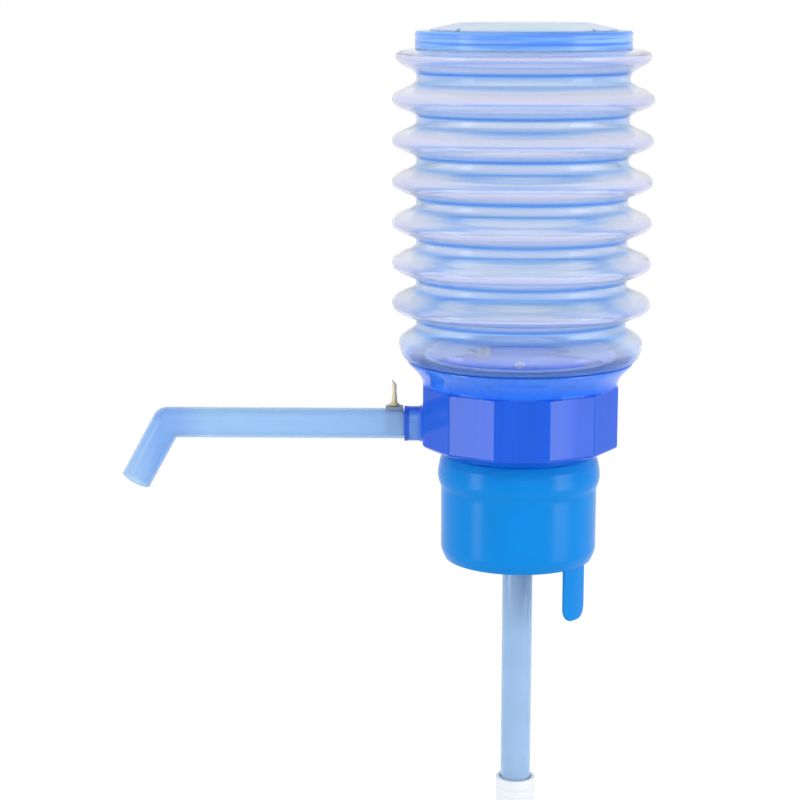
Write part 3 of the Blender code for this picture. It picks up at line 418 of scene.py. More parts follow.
def plastic(
    name, colour, roughness, transmission=0.0, ior=1.45, specular=0.5, coat=0.0, coat_rough=0.05,
    metallic=0.0, subsurface=0.0, by_rib=None, by_height=None, by_reach=None, veins=None,
    painted_highlight=None, fade=None, clear=None, tint=0.06, cloud=60.0, stretch=(1, 1, 1),
    grain=0.02, grain_scale=900.0,
):
    """A moulded plastic, slightly uneven, with a fine moulded grain.

    Its colour is plain, or a ramp of colours by the height within each rib, by the height, by the
    reach along the spout, or in veins. A painted highlight can make a stretch of the wall paler,
    fade tints the colour by height, and clear says by height how much light goes through.
    """
    material = bpy.data.materials.new(name)
    material.use_nodes = True
    nodes, links = material.node_tree.nodes, material.node_tree.links
    shader = nodes["Principled BSDF"]
    plain = {
        "Transmission Weight": transmission,
        "IOR": ior,
        "Coat Weight": coat,
        "Coat Roughness": coat_rough,
        "Metallic": metallic,
        "Specular IOR Level": specular,
        "Subsurface Weight": subsurface,
        "Subsurface Radius": SCATTER,
        "Subsurface Scale": 1.0,
    }
    for socket, value in plain.items():
        shader.inputs[socket].default_value = value

    base = colour
    if by_rib:
        crest, pitch, stops = by_rib
        base = ramp(nodes, links, rib_of(nodes, links, crest, pitch), stops, "B_SPLINE")
    elif by_height:
        low, high, stops = by_height
        base = ramp(nodes, links, height_of(nodes, links, low, high), stops)
    elif by_reach:
        near, far, stops = by_reach
        base = ramp(nodes, links, reach_of(nodes, links, near, far), stops)
    elif veins:
        base = ramp(nodes, links, noise(nodes, links, cloud, 3.0, stretch), veins)

    # Painted highlight: a stretch of the wall painted paler, most in its middle and less towards
    # its edges.
    if painted_highlight:
        near, far, across, low, high, upright, pale = painted_highlight
        wall = nodes.new("ShaderNodeMix")
        wall.data_type = "RGBA"
        share = combined(
            nodes, links, "MULTIPLY",
            mask(nodes, links, reach_of(nodes, links, near, far), across),
            mask(nodes, links, height_of(nodes, links, low, high), upright),
        )
        links.new(share, wall.inputs["Factor"])
        links.new(base, wall.inputs["A"])
        wall.inputs["B"].default_value = (*pale, 1)
        base = wall.outputs["Result"]

    if fade:
        low, high, stops = fade
        level = ramp(nodes, links, height_of(nodes, links, low, high), stops)
        base = multiplied(nodes, links, base, level)

    if clear:
        low, high, stops = clear
        through = mask(nodes, links, height_of(nodes, links, low, high), stops)
        links.new(through, shader.inputs["Transmission Weight"])

    clouds = noise(nodes, links, cloud, 3.0, stretch)
    uneven = mask(nodes, links, clouds, [(0.3, 1 - tint), (0.7, 1.0)])
    links.new(multiplied(nodes, links, base, uneven), shader.inputs["Base Color"])

    rough = nodes.new("ShaderNodeMapRange")
    rough.inputs["To Min"].default_value = roughness * 0.85
    rough.inputs["To Max"].default_value = roughness * 1.15
    links.new(noise(nodes, links, cloud * 3, 4.0, stretch), rough.inputs["Value"])
    links.new(rough.outputs["Result"], shader.inputs["Roughness"])

    bump = nodes.new("ShaderNodeBump")
    bump.inputs["Strength"].default_value = grain
    bump.inputs["Distance"].default_value = GRAIN_DEPTH
    links.new(noise(nodes, links, grain_scale, 4.0), bump.inputs["Height"])
    links.new(bump.outputs["Normal"], shader.inputs["Normal"])
    return material


bellows_film = plastic(
    "bellows_film", None, 0.12, ior=1.10, coat=0.28, coat_rough=0.14, grain=0.0, tint=0.08,
    cloud=1.0, stretch=(9, 9, 520),
    # Painted light by the height within each rib: the white bands on the upper flanks and the pale
    # band in each valley are painted highlights, and the darker blue lines at the edges of each
    # valley are painted shade.
    by_rib=(LOWEST_CREST, RIB_PITCH, [
        (0.0, (0.84, 0.85, 1.0)),
        (0.12, (0.92, 0.94, 1.0)),
        (0.20, (1.0, 1.0, 1.0)),
        (0.28, (1.0, 1.0, 1.0)),
        (0.34, (0.46, 0.70, 1.0)),
        (0.38, (0.46, 0.70, 1.0)),
        (0.45, (0.78, 0.87, 1.0)),
        (0.56, (0.76, 0.86, 1.0)),
        (0.62, (0.18, 0.48, 1.0)),
        (0.66, (0.18, 0.48, 1.0)),
        (0.74, (0.81, 0.88, 1.0)),
        (0.88, (0.82, 0.84, 1.0)),
        (1.0, (0.84, 0.85, 1.0)),
    ]),
    fade=(NECK_LOW, NECK_HIGH, [
        (0.0, (0.80, 0.91, 1.0)),
        (0.10, (0.91, 0.96, 1.0)),
        (0.35, (1.0, 1.0, 1.0)),
    ]),
    clear=(SHOULDER, 0.0580, [
        (0.06, 0.75),
        (0.10, 1.0),
        (0.20, 0.98),
        (0.34, 0.76),
        (0.62, 0.77),
        (1.0, 0.88),
    ]),
)
cap_blue = plastic(
    "cap_blue", None, 0.20, specular=0.25, grain=0.0, tint=0.05,
    cloud=1.0, stretch=(14, 14, 520),
    veins=[
        (0.34, (0.10, 0.29, 0.90)),
        (0.46, (0.20, 0.43, 0.94)),
        (0.56, (0.30, 0.56, 0.96)),
        (0.68, (0.19, 0.41, 0.94)),
    ],
)
disc_blue = plastic(
    "disc_blue", None, 0.25, transmission=0.10, grain=0.0, tint=0.04,
    cloud=1.0, stretch=(8, 40, 200),
    veins=[(0.38, (0.60, 0.76, 1.0)), (0.52, (0.70, 0.86, 1.0)), (0.66, (0.58, 0.86, 1.0))],
)
housing_blue = plastic(
    "housing_blue", None, 0.06, ior=1.36, specular=0.3, grain=0.0, tint=0.15,
    cloud=1.0, stretch=(260, 260, 9),
    by_height=(0.0300, 0.0400, [
        (0.0, (0.008, 0.106, 0.72)),
        (0.10, (0.012, 0.17, 0.97)),
        (1.0, (0.060, 0.24, 0.92)),
    ]),
    # Painted highlight: the socket painted paler along its middle, less towards its ends and its
    # upper and lower edges.
    painted_highlight=(
        0.0380, SOCKET_REACH,
        [(0.0, 0.0), (0.30, 1.0), (0.64, 1.0), (0.80, 0.1), (1.0, 0.1)],
        SPOUT_HEIGHT - SOCKET_RADIUS, SPOUT_HEIGHT + SOCKET_RADIUS,
        [(0.02, 0.2), (0.18, 1.0), (0.80, 1.0), (0.97, 0.2), (1.0, 0.0)],
        (0.17, 0.38, 0.88),
    ),
)
collar_cyan = plastic("collar_cyan", (0.002, 0.24, 0.72), 0.22, grain=0.03, ior=1.30, specular=0.25)
spout_blue = plastic(
    "spout_blue", None, 0.14, transmission=0.62, ior=1.10, grain=0.0, coat=0.2, tint=0.05,
    cloud=1.0, stretch=(14, 420, 420),
    by_reach=(SPOUT_ROOT, 0.1560, [
        (0.0, (0.53, 0.75, 0.98)),
        (0.70, (0.54, 0.76, 0.98)),
        (0.80, (0.43, 0.66, 0.96)),
        (0.86, (0.40, 0.63, 0.95)),
        (0.93, (0.50, 0.71, 0.96)),
        (1.0, (0.56, 0.76, 0.98)),
    ]),
)
tube_clear = plastic("tube_clear", (0.50, 0.72, 0.98), 0.12, transmission=0.45, ior=1.30, grain=0.0)
inner_blue = plastic("inner_blue", (0.015, 0.14, 0.85), 0.45, grain=0.05, ior=1.20, specular=0.2)
plate_blue = plastic("plate_blue", (0.02, 0.22, 1.0), 0.45, grain=0.05, ior=1.20, specular=0.2)
pale_blue = plastic("pale_blue", (0.66, 0.78, 1.0), 0.42, grain=0.05, ior=1.20, specular=0.3)
white_plastic = plastic("white_plastic", (0.80, 0.83, 0.88), 0.42, grain=0.06)
seal_rubber = plastic("seal_rubber", (0.03, 0.03, 0.035), 0.62, grain=0.25, grain_scale=1500)
silicone = plastic("silicone", (0.70, 0.73, 0.76), 0.5, grain=0.08, subsurface=0.2)
saddle_grey = plastic("saddle_grey", (0.24, 0.30, 0.40), 0.42, grain=0.08)
pin_tan = plastic(
    "pin_tan", None, 0.38, grain=0.06,
    by_height=(0.0205, 0.0310, [
        (0.0, (0.56, 0.52, 0.20)),
        (0.3, (0.78, 0.70, 0.42)),
        (1.0, (0.90, 0.76, 0.56)),
    ]),
)
screw_steel = plastic(
    "screw_steel", (0.60, 0.61, 0.63), 0.28, metallic=1.0, stretch=(1, 1, 8), grain=0.05,
)


# ---------------------------------------------------------------- bellows

def bellows_outline():
    """The outer line of the ribbed wall, from its cut at the foot to its cut at the crown."""
    # From a crest towards the next valley: share of the way, and share of the rib's depth
    flank = [(0.218, 0.93), (0.41, 0.685), (0.60, 0.29), (0.795, 0.03)]
    # Each rib's level and depth
    crests = [(LOWEST_CREST, LOWEST_DEPTH)]
    crests += [(LOWEST_CREST + RIB_PITCH * step, RIB_DEPTH) for step in range(1, 7)]
    crests.append((crests[-1][0] + TOP_PITCH, TOP_DEPTH))
    # The underside of the lowest rib
    points = [
        (0.0435, 0.04005),
        (0.0446, 0.0403),
        (0.0456, 0.0413),
        (0.0465, 0.0434),
        (VALLEY + LOWEST_DEPTH, LOWEST_CREST),
    ]
    for (crest, depth), (above, depth_above) in zip(crests, crests[1:]):
        half = (above - crest) / 2
        for share, swell in flank:
            points.append((VALLEY + swell * depth, crest + share * half))
        points.append((VALLEY, crest + half))
        for share, swell in flank[::-1]:
            points.append((VALLEY + swell * depth_above, above - share * half))
        points.append((VALLEY + depth_above, above))
    # The top of the highest rib, in to the crown
    top = crests[-1][0]
    points += [
        (VALLEY + 0.0074, top + 0.0012),
        (VALLEY + 0.0054, top + 0.0022),
        (0.0424, top + 0.00255),
        (0.0411, top + 0.0027),
    ]
    foot = [Vector((BELLOWS_FOOT_CUT, SHOULDER)), Vector((0.0430, SHOULDER))]
    crown = [Vector((0.0409, CROWN)), Vector((BELLOWS_CROWN_CUT, CROWN))]
    return [*foot, *spline(points, 2), *crown]


def make_bellows():
    """A slim moulded wall with eight rounded ribs, and two necks."""
    outside = bellows_outline()
    inside = offset(outside, WALL)
    inside[0] = Vector((BELLOWS_FOOT_CUT, SHOULDER + WALL))
    inside[-1] = Vector((BELLOWS_CROWN_CUT, CROWN - WALL))
    inside = inside[::2] + inside[-1:]
    wall = lathe("bellows_wall", outside + inside[::-1], even_angles(BELLOWS_ROUND))
    dress(wall, "base", bellows_film, ["bellows"], angle=math.radians(60))
    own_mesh(wall)

    for name, body, radius, end, shoulder, inner_shoulder, cut in (
        ("bellows_foot", "base", 0.0387, NECK_LOW, SHOULDER, SHOULDER + WALL, BELLOWS_FOOT_CUT),
        ("bellows_crown", "cap", 0.0392, NECK_HIGH, CROWN, CROWN - WALL, BELLOWS_CROWN_CUT),
    ):
        outline = [
            (radius, end, 0.0002),
            (radius, shoulder, 0.0003),
            (cut - SEAM, shoulder, 0),
            (cut - SEAM, inner_shoulder, 0),
            (radius - WALL, inner_shoulder, 0.0006),
            (radius - WALL, end, 0.0002),
        ]
        neck = lathe(name, rounded(outline, 3), even_angles(BELLOWS_ROUND))
        dress(neck, body, bellows_film, ["bellows"])


# ---------------------------------------------------------------- cap and palm disc

def make_cap():
    """The cap: a skirt with two shallow grooves, a plate, and a well with six air holes."""
    outline = [
        (CAP_RADIUS, SKIRT_LOW, 0.00015),
        (CAP_RADIUS, 0.1604, 0.0002),
        (GROOVE_RADIUS, 0.1606, 0.0001),
        (GROOVE_RADIUS, 0.1609, 0.0001),
        (CAP_RADIUS, 0.1611, 0.0002),
        (CAP_RADIUS, 0.1624, 0.0002),
        (GROOVE_RADIUS, 0.1626, 0.0001),
        (GROOVE_RADIUS, 0.1629, 0.0001),
        (CAP_RADIUS, 0.1631, 0.0002),
        (CAP_RADIUS, CAP_TOP, 0.0012),
        (0.0140, CAP_TOP, 0.0003),
        (0.0140, 0.1609, 0.0003),
        (0.0015, 0.1609, 0.0001),
        (0.0015, 0.1593, 0.0001),
        (0.0156, 0.1593, 0.0004),
        (0.0156, 0.1632, 0.0006),
        (0.0395, 0.1632, 0.0004),
        (0.0395, SKIRT_LOW, 0.0002),
    ]
    thing = lathe("cap_shell", rounded(outline, 3))
    holes = []
    for turn, move in ring(AIR_HOLES, CAP_HOLE_REACH):
        hole = cylinder(f"cap_hole_{turn}", 0.0012, 0.1580, 0.1620, HOLE_ROUND)
        holes.append(place(hole, move))
    carve(thing, holes, "DIFFERENCE")
    dress(thing, "cap", cap_blue, ["press_cap"])


def make_disc():
    """The palm disc: a flat top with a fine ring groove, a sloping edge, and a hollow spigot."""
    seat = CAP_TOP + GAP
    top = seat + 0.0027
    outline = [
        (0.0, top - 0.0001, 0),
        (0.0228, top, 0.004),
        (0.0250, top, 0.0004),
        (0.0256, top - 0.0005, 0.0002),
        (0.0263, top - 0.0003, 0.0004),
        (0.0355, seat + 0.0004, 0.0003),
        (0.0355, CAP_TOP + 0.00005, 0.0001),
        (0.0340, CAP_TOP + 0.00005, 0.0001),
        (0.0340, seat, 0.0001),
        (0.0137, seat, 0.0002),
        (0.0137, seat - 0.0026, 0.0003),
        (0.0125, seat - 0.0026, 0.0003),
        (0.0125, top - 0.0013, 0.0006),
        (0.0, top - 0.0013, 0),
    ]
    thing = lathe("palm_disc_shell", rounded(outline, 3))
    slot_top, tall = seat + 0.0007, 0.0060
    size, centre = (0.028, 0.0016, tall), (0.0240, 0, slot_top - tall / 2)
    slots = []
    for turn, angle in enumerate(even_angles(DISC_SLOTS)):
        slots.append(block(f"disc_slot_{turn}", size, centre, turn=angle))
    carve(thing, slots, "DIFFERENCE")
    dress(thing, "cap", disc_blue, ["palm_disc"])


# ---------------------------------------------------------------- housing

def facet_angles():
    """Angles for a flat-sided turned shape, closer together at its corners."""
    side = math.tau / SIDES
    shares = [-0.5, -0.478, -0.455, -0.42, -0.25, 0.0, 0.25, 0.42, 0.455, 0.478]
    return [side * turn + side * share for turn in range(SIDES) for share in shares]


def polygon_reach(angle, corner=0.03):
    """The radius of a flat-sided outline of unit apothem, with slightly rounded corners."""
    side = math.tau / SIDES
    off = (angle + side / 2) % side - side / 2
    tangent = math.atan((1 - corner) * math.tan(side / 2))
    if abs(off) <= tangent:
        return 1 / math.cos(off)
    centre = (1 - corner) / math.cos(side / 2)
    off = side / 2 - abs(off)
    return centre * math.cos(off) + math.sqrt(corner**2 - (centre * math.sin(off)) ** 2)


def make_housing():
    """The housing: flared rim, flat sides, chamfered foot, spigot, pillars, holes and socket."""
    flat, soft, steps = True, False, 3
    outline = [
        (0.0063, 0.0051, 0.0001, soft),
        (0.03155, 0.0051, 0.0005, soft),
        (BORE, 0.0072, 0.0008, soft),
        (BORE, 0.0362, 0.0002, soft),
        (0.0390, 0.0362, 0.0002, soft),
        (0.0390, RIM_TOP, 0.0003, soft),
        (RIM_RADIUS, RIM_TOP, 0.0003, soft),
        (RIM_RADIUS, 0.0389, 0.0003, soft),
        (0.0424, 0.03735, 0.004, soft),
        (0.0409, 0.0358, 0.006, soft),
        (0.03962, 0.03428, 0.006, soft),
        (0.03858, 0.03274, 0.005, soft),
        (0.0380, 0.0312, 0.003, soft),
        (0.0380, 0.0306, 0.0002, soft),
        (APOTHEM, 0.0300, 0.0004, flat),
        (APOTHEM, 0.0068, 0.0012, flat),
        (0.03638, 0.00594, 0.002, flat),
        (0.03364, 0.00438, 0.002, flat),
        (0.0304, FOOT, 0.0005, flat),
        (0.0187, FOOT, 0.0002, soft),
        (0.0187, SPIGOT_LOW, 0.0003, soft),
        (0.0167, SPIGOT_LOW, 0.0003, soft),
        (0.0167, FOOT, 0.0004, soft),
        (0.0063, FOOT, 0.0001, soft),
    ]
    line = rounded([point[:3] for point in outline], steps)
    flags = []
    for _, _, corner, flag in outline:
        flags += [flag] * (steps + 1 if corner else 1)

    def shape(angle, index):
        return polygon_reach(angle) if flags[index] else 1

    thing = lathe("housing_shell", line, facet_angles(), shape)
    pillars = []
    for turn, move in ring(SCREWS, SCREW_REACH):
        pillar = cylinder(f"pillar_{turn}", 0.0034, 0.0047, 0.0334, PILLAR_ROUND)
        pillars.append(place(pillar, move))
    socket = rounded([
        (0, BORE + 0.0006, 0),
        (0.0084, BORE + 0.0006, 0),
        (0.0084, APOTHEM - 0.0002, 0),
        (0.0084, APOTHEM + 0.0001, 0),
        (0.00728, APOTHEM + 0.00045, 0.0006),
        (SOCKET_RADIUS, APOTHEM + 0.0016, 0.0012),
        (SOCKET_RADIUS, 0.0432, 0.0001),
        (SOCKET_LIP, 0.0434, 0.0001),
        (SOCKET_LIP, SOCKET_REACH, 0.0003),
        (0, SOCKET_REACH, 0),
    ], 3)
    socket = place(lathe("socket", socket, even_angles(PIPE_ROUND)), along_spout())
    carve(thing, [*pillars, socket], "UNION")
    bore = cylinder("socket_bore", SPOUT_BORE, BORE - 0.002, SOCKET_REACH + 0.002)
    cuts = [place(bore, along_spout())]
    for turn, move in ring(SCREWS, SCREW_REACH):
        pilot = cylinder(f"pilot_{turn}", 0.0017, 0.0214, 0.0354, HOLE_ROUND)
        cuts.append(place(pilot, move))
    for turn, move in ring(AIR_HOLES, AIR_HOLE_REACH):
        hole = cylinder(f"air_{turn}", 0.0022, 0.0009, 0.0071, HOLE_ROUND)
        cuts.append(place(hole, move))
    carve(thing, cuts, "DIFFERENCE")
    sharp = math.radians(30)
    dress(thing, "base", housing_blue, ["housing"], weighted=True, angle=sharp)


# ---------------------------------------------------------------- collar

def make_tab():
    """The pull tab: an arc that goes on below the hem, with rounded corners and soft edges."""
    inner, outer, edge = 0.0273, 0.0287, 0.00035
    top, half, corner, columns = -0.0372, 0.00625, 0.0045, 25
    middle = math.radians(-40)
    verts, loops = [], []
    for column in range(columns):
        across = (2 * column / (columns - 1) - 1) * half
        past = max(0, abs(across) - (half - corner)) / corner
        low = TAB_LOW + corner * (1 - math.sqrt(max(0, 1 - past * past)))
        angle = middle + across / outer
        section = [
            (inner + edge, top), (outer - edge, top), (outer, top - edge), (outer, low + edge),
            (outer - edge, low), (inner + edge, low), (inner, low + edge), (inner, top - edge),
        ]
        loops.append(list(range(len(verts), len(verts) + len(section))))
        for reach, height in section:
            verts.append((reach * math.cos(angle), reach * math.sin(angle), height))
    return mesh_object("tab", verts, bands(loops) + [loops[0], loops[-1][::-1]])


def make_collar():
    """The collar: a web, a swelling bead, a skirt with a drawn-in hem, a snap lip and the tab."""
    outline = [
        (0.0190, 0.0013, 0.0001),
        (0.0190, 0.0026, 0.0002),
        (0.02979, 0.0026, 0.0006),
        (0.03102, -0.00044, 0.002),
        (0.03171, -0.0043, 0.003),
        (0.0318, -0.00651, 0.002),
        (0.03148, -0.00844, 0.002),
        (0.03062, -0.0106, 0.0012),
        (COLLAR_RADIUS, -0.0118, 0.002),
        (COLLAR_RADIUS, -0.0350, 0.004),
        (0.0300, -0.0370, 0.003),
        (0.02894, HEM, 0.0005),
        (0.0271, HEM, 0.0005),
        (0.0271, -0.0370, 0.0004),
        (0.0281, -0.0360, 0.0004),
        (0.0281, 0.0013, 0.0003),
    ]
    thing = lathe("collar_skirt", rounded(outline, 4))
    carve(thing, [make_tab()], "UNION")
    dress(thing, "base", collar_cyan, ["neck_collar"])


# ---------------------------------------------------------------- spout, saddle and pin

def spout_loops(radius, root, tip_cut, fans=16):
    """Loops along the spout: straight, a corner round outside and mitred inside, and the leg."""
    side = Vector((0, 1, 0))
    corner = Vector((-SPOUT_CORNER, 0, 0))
    leg = Vector((-math.cos(SPOUT_BEND), 0, -math.sin(SPOUT_BEND)))
    straight = SPOUT_CORNER - root - 0.006
    stations = []
    for share in (0, 0.02, 0.3, 0.6, 1.0):
        stations.append((Vector((-root - straight * share, 0, 0)), 0, False))
    for fan in range(fans + 1):
        stations.append((corner, SPOUT_BEND * fan / fans, True))
    for reach in (0.006, 0.015, tip_cut):
        stations.append((corner + leg * reach, SPOUT_BEND, False))
    loops = []
    for centre, turn, at_corner in stations:
        up = Vector((-math.sin(turn), 0, math.cos(turn)))
        loop = []
        for step in range(PIPE_ROUND):
            angle = math.tau * step / PIPE_ROUND
            height = radius * math.cos(angle)
            where = centre + up * height + side * radius * math.sin(angle)
            if at_corner and height < 0:
                where = centre + side * radius * math.sin(angle)
                where += Vector((-height * math.tan(SPOUT_BEND / 2), 0, height))
            loop.append(where + Vector((0, 0, SPOUT_HEIGHT)))
        loops.append(loop)
    return loops


def spout_skin(radius, narrowing):
    """Loops along the spout with a softened edge at both ends, where it is narrower (or wider)."""
    edge = abs(narrowing)
    ends = spout_loops(radius - narrowing, SPOUT_ROOT, SPOUT_LEG)
    return [ends[0], *spout_loops(radius, SPOUT_ROOT + edge, SPOUT_LEG - edge), ends[-1]]


def make_spout():
    """The spout: one bent tube with softened ends and the vent's hole."""
    edge = 0.00018
    verts, rows = [], []
    for loop in spout_skin(SPOUT_RADIUS, edge) + spout_skin(SPOUT_BORE, -edge)[::-1]:
        rows.append(list(range(len(verts), len(verts) + len(loop))))
        verts += [tuple(point) for point in loop]
    thing = mesh_object("spout_pipe", verts, bands(rows + rows[:1]))
    hole = cylinder("vent_hole", VENT_RADIUS, 0.0040, 0.0080, HOLE_ROUND)
    place(hole, Matrix.Translation((-PIN_REACH, 0, SPOUT_HEIGHT)))
    carve(thing, [hole], "DIFFERENCE")
    dress(thing, "spout", spout_blue, ["spout_tube"], angle=math.radians(50))


def make_saddle():
    """The pin's foot: a block with soft edges that sits on the spout, with a hole for the pin."""
    stand = Matrix.Translation((-PIN_REACH, 0, SPOUT_HEIGHT))
    size = (0.0068, 0.0052, 2 * SADDLE_RISE)
    thing = place(block("saddle_block", size, (0, 0, SPOUT_RADIUS), bevel=0.0004), stand)
    hollow = cylinder("hollow", SPOUT_RADIUS + GAP, -0.01, 0.01, HOLLOW_ROUND)
    place(hollow, along_spout(PIN_REACH))
    hole = place(cylinder("hole", VENT_RADIUS, 0.0040, 0.0100, HOLE_ROUND), stand)
    carve(thing, [hollow, hole], "DIFFERENCE")
    dress(thing, "spout", saddle_grey, ["vent_saddle"])


def make_pin():
    """The vent pin: a stem, a coned flange, a waisted shaft and a small bent tip."""
    seat = SPOUT_RADIUS + SADDLE_RISE + GAP
    tip, bend_from, lean = seat + 0.0100, seat + 0.0075, 0.0009
    outline = [
        (0, 0.0053, 0),
        (0.0007, 0.0053, 0.0001),
        (0.0007, seat, 0.0001),
        (0.0021, seat, 0.0002),
        (0.0020, seat + 0.0005, 0.0002),
        (0.00115, seat + 0.0012, 0.0006),
        (0.00105, seat + 0.0036, 0.001),
        (0.0008, seat + 0.0050, 0.001),
        (0.00092, seat + 0.0078, 0.001),
        (0.00055, seat + 0.0090, 0.0006),
        (0.0003, tip, 0.0002),
        (0, tip, 0),
    ]
    thing = lathe("pin_shaft", rounded(outline, 4), even_angles(PIN_ROUND))
    for vertex in thing.data.vertices:
        past = max(0, vertex.co.z - bend_from) / (tip - bend_from)
        vertex.co.x -= lean * past**2
    place(thing, Matrix.Translation((-PIN_REACH, 0, SPOUT_HEIGHT)))
    dress(thing, "pin", pin_tan, ["vent_pin"])


# ---------------------------------------------------------------- dip tube

def make_sleeve(name, coupler, stop_top):
    """A sleeve that joins two sections, with grip rings outside and a stop inside."""
    middle = stop_top - STOP / 2
    outline = [
        (SLEEVE_BORE, middle - SLEEVE_HALF, 0.0002),
        (SLEEVE_RADIUS, middle - SLEEVE_HALF, 0.0004),
    ]
    for height in (-0.0080, -0.0050, -0.0020, 0.0010, 0.0040, 0.0070):
        low = middle + height
        outline += [
            (SLEEVE_RADIUS, low, 0.0002),
            (GRIP_RADIUS, low + 0.0003, 0.0001),
            (GRIP_RADIUS, low + 0.0007, 0.0001),
            (SLEEVE_RADIUS, low + 0.0010, 0.0002),
        ]
    outline += [
        (SLEEVE_RADIUS, middle + SLEEVE_HALF, 0.0004),
        (SLEEVE_BORE, middle + SLEEVE_HALF, 0.0002),
        (SLEEVE_BORE, stop_top, 0.0001),
        (TUBE_BORE, stop_top, 0.0002),
        (TUBE_BORE, stop_top - STOP, 0.0002),
        (SLEEVE_BORE, stop_top - STOP, 0.0001),
    ]
    sleeve = lathe(f"sleeve_{name}", rounded(outline, 2), even_angles(PIPE_ROUND))
    dress(sleeve, "base", white_plastic, [f"tube_coupler_{coupler}"])


def make_tube_foot(stop_top):
    """The foot that the tube stands on, with four notches in its lower edge."""
    grip_top = stop_top + FOOT_GRIP
    bottom = grip_top - FOOT_TALL
    outline = [
        (TUBE_BORE, bottom, 0.0002),
        (SLEEVE_RADIUS, bottom, 0.0004),
        (SLEEVE_RADIUS, grip_top, 0.0004),
        (SLEEVE_BORE, grip_top, 0.0002),
        (SLEEVE_BORE, stop_top, 0.0001),
        (TUBE_BORE, stop_top, 0.0002),
    ]
    foot = lathe("strainer_foot", rounded(outline, 3), even_angles(PIPE_ROUND))
    size, centre = (0.0070, 0.0040, 0.0070), (0.0060, 0, bottom + 0.0015)
    notches = []
    for turn, angle in enumerate(even_angles(NOTCHES)):
        notches.append(block(f"notch_{turn}", size, centre, bevel=0.0006, turn=angle))
    carve(foot, notches, "DIFFERENCE")
    dress(foot, "base", white_plastic, ["tube_foot"])


def make_dip_tube():
    """Three clear sections, two sleeves that join them, and a foot."""
    top = TUBE_TOP
    for name, coupler in (("upper", "upper"), ("middle", "lower"), ("lower", None)):
        bottom = top - TUBE_SECTION
        outline = [
            (TUBE_BORE, bottom, 0.0002),
            (TUBE_RADIUS, bottom, 0.0002),
            (TUBE_RADIUS, top, 0.0002),
            (TUBE_BORE, top, 0.0002),
        ]
        tube = lathe(f"clear_tube_{name}", rounded(outline, 3), even_angles(PIPE_ROUND))
        dress(tube, "base", tube_clear, [f"dip_tube_{name}"])
        stop_top = bottom - GAP
        top = stop_top - STOP - GAP
        if coupler:
            make_sleeve(name, coupler, stop_top)
    make_tube_foot(stop_top)


# ---------------------------------------------------------------- CAD nodes that stay

def finish_nodes():
    """Better materials on the inner CAD nodes."""
    kept = {
        white_plastic: ["riser_nut", "collar_nut"],
        plate_blue: ["valve_plate"],
        pale_blue: ["cap_clamp_ring", "bellows_clamp_ring", "outlet_nipple"],
        inner_blue: ["riser_tube"],
        silicone: [
            "inlet_valve", "outlet_valve",
            "nipple_o_ring", "spout_o_ring_inner", "spout_o_ring_outer",
        ],
        seal_rubber: ["neck_gasket"],
        screw_steel: ["plate_screw_1", "plate_screw_2", "plate_screw_3"],
    }
    for material, names in kept.items():
        for name in names:
            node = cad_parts[name]
            for slot in node.material_slots:
                slot.material = material


# ---------------------------------------------------------------- stage

def seen_directly(nodes, links):
    """1 on rays that show something to the camera, straight, reflected or through. 0 on others."""
    path = nodes.new("ShaderNodeLightPath")
    outputs = path.outputs
    seen = combined(nodes, links, "MAXIMUM", outputs["Is Camera Ray"], outputs["Is Glossy Ray"])
    return combined(nodes, links, "MAXIMUM", seen, outputs["Is Transmission Ray"])


def make_floor():
    """A pale floor under the foot of the dip tube, which glows where the camera sees it."""
    floor_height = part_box("tube_foot")[0].z
    bpy.ops.mesh.primitive_plane_add(size=FLOOR_SIZE, location=(0, 0, floor_height))
    floor = bpy.context.object
    floor.name = "floor"
    material = bpy.data.materials.new("pale_floor")
    material.use_nodes = True
    nodes, links = material.node_tree.nodes, material.node_tree.links
    nodes.clear()
    out = nodes.new("ShaderNodeOutputMaterial")
    plain = nodes.new("ShaderNodeBsdfDiffuse")
    plain.inputs["Color"].default_value = FLOOR_PLAIN
    shaded = nodes.new("ShaderNodeBsdfDiffuse")
    shaded.inputs["Color"].default_value = FLOOR_SHADED
    glow = nodes.new("ShaderNodeEmission")
    glow.inputs["Color"].default_value = WHITE
    glow.inputs["Strength"].default_value = FLOOR_GLOW
    both = nodes.new("ShaderNodeAddShader")
    links.new(shaded.outputs[0], both.inputs[0])
    links.new(glow.outputs[0], both.inputs[1])
    mix = nodes.new("ShaderNodeMixShader")
    links.new(seen_directly(nodes, links), mix.inputs["Fac"])
    links.new(plain.outputs[0], mix.inputs[1])
    links.new(both.outputs[0], mix.inputs[2])
    links.new(mix.outputs[0], out.inputs["Surface"])
    floor.data.materials.append(material)


def make_world():
    """A world that is white where the camera sees it, and lights the pump less brightly."""
    world = bpy.data.worlds.new("studio")
    bpy.context.scene.world = world
    world.use_nodes = True
    nodes, links = world.node_tree.nodes, world.node_tree.links
    nodes.clear()
    out = nodes.new("ShaderNodeOutputWorld")
    mix = nodes.new("ShaderNodeMixShader")
    links.new(seen_directly(nodes, links), mix.inputs["Fac"])
    for slot, strength in ((1, WORLD_LIGHT), (2, WORLD_SEEN)):
        white = nodes.new("ShaderNodeBackground")
        white.inputs["Color"].default_value = WHITE
        white.inputs["Strength"].default_value = strength
        links.new(white.outputs[0], mix.inputs[slot])
    links.new(mix.outputs[0], out.inputs["Surface"])


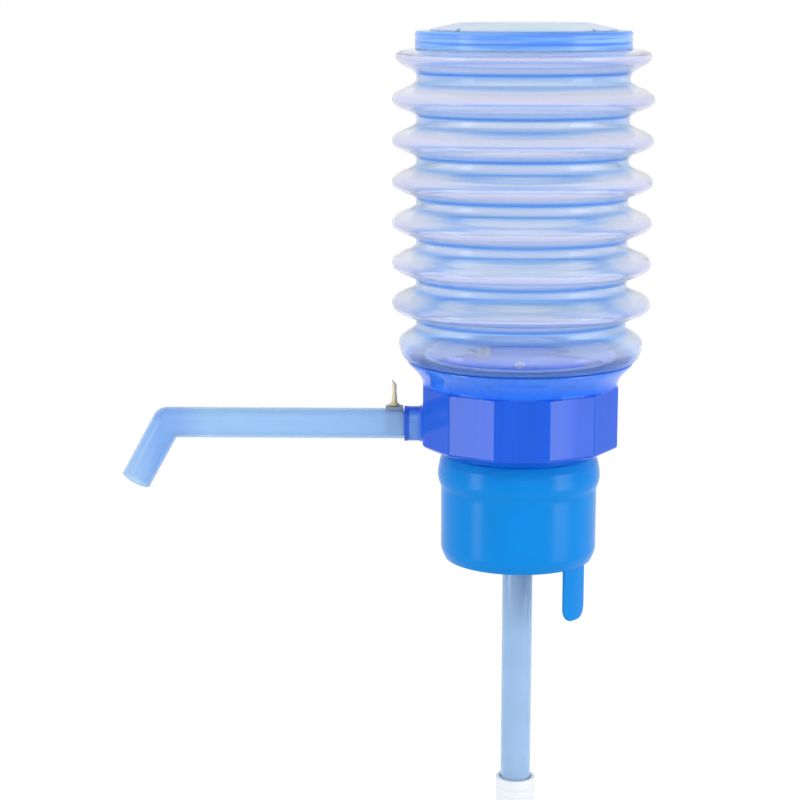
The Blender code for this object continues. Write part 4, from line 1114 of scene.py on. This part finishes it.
def softbox(name, azimuth, distance, height, width, tall, radiance, aim):
    """A rectangular lamp of a given brightness, which faces the pump's axis at a height of aim."""
    light = bpy.data.lights.new(name, "AREA")
    light.shape = "RECTANGLE"
    light.size = width
    light.size_y = tall
    light.energy = radiance * math.pi * width * tall
    lamp = bpy.data.objects.new(name, light)
    angle = math.radians(azimuth)
    lamp.location = (distance * math.cos(angle), distance * math.sin(angle), height)
    towards = Vector((0, 0, aim)) - lamp.location
    lamp.rotation_euler = towards.to_track_quat("-Z", "Y").to_euler()
    lamp.visible_camera = False
    bpy.context.scene.collection.objects.link(lamp)


def make_lamps():
    """Three tall lamps in front, one of them weaker, and a strip above."""
    upright = {"distance": 1.2, "height": -0.02, "tall": 0.72, "aim": 0.0}
    level = {"distance": 0.75, "height": 0.95, "tall": 0.16, "aim": 0.10}
    softbox("left_box", azimuth=-153.5, width=0.32, radiance=7.0, **upright)
    softbox("right_box", azimuth=-33.4, width=0.25, radiance=7.0, **upright)
    softbox("right_fill", azimuth=-20.4, width=0.29, radiance=4.0, **upright)
    softbox("top_strip", azimuth=-92, width=1.5, radiance=5.0, **level)


def make_camera():
    """The camera, which sees the pump as the photograph does."""
    lens = bpy.data.cameras.new("camera")
    lens.sensor_width = SENSOR_WIDTH
    lens.lens = FOCAL_PIXELS / PICTURE_PIXELS * SENSOR_WIDTH
    lens.clip_start = 0.01
    lens.clip_end = 50
    camera = bpy.data.objects.new("camera", lens)
    camera.location = (
        CAMERA_DISTANCE * math.cos(CAMERA_AZIMUTH),
        CAMERA_DISTANCE * math.sin(CAMERA_AZIMUTH),
        CAMERA_HEIGHT,
    )
    camera.rotation_euler = (math.pi / 2 - CAMERA_PITCH, 0, CAMERA_YAW)
    bpy.context.scene.collection.objects.link(camera)
    bpy.context.scene.camera = camera
    bpy.context.scene.view_settings.view_transform = "Standard"


make_bellows()
make_cap()
make_disc()
make_housing()
make_collar()
make_spout()
make_saddle()
make_pin()
make_dip_tube()
finish_nodes()
make_floor()
make_world()
make_lamps()
make_camera()
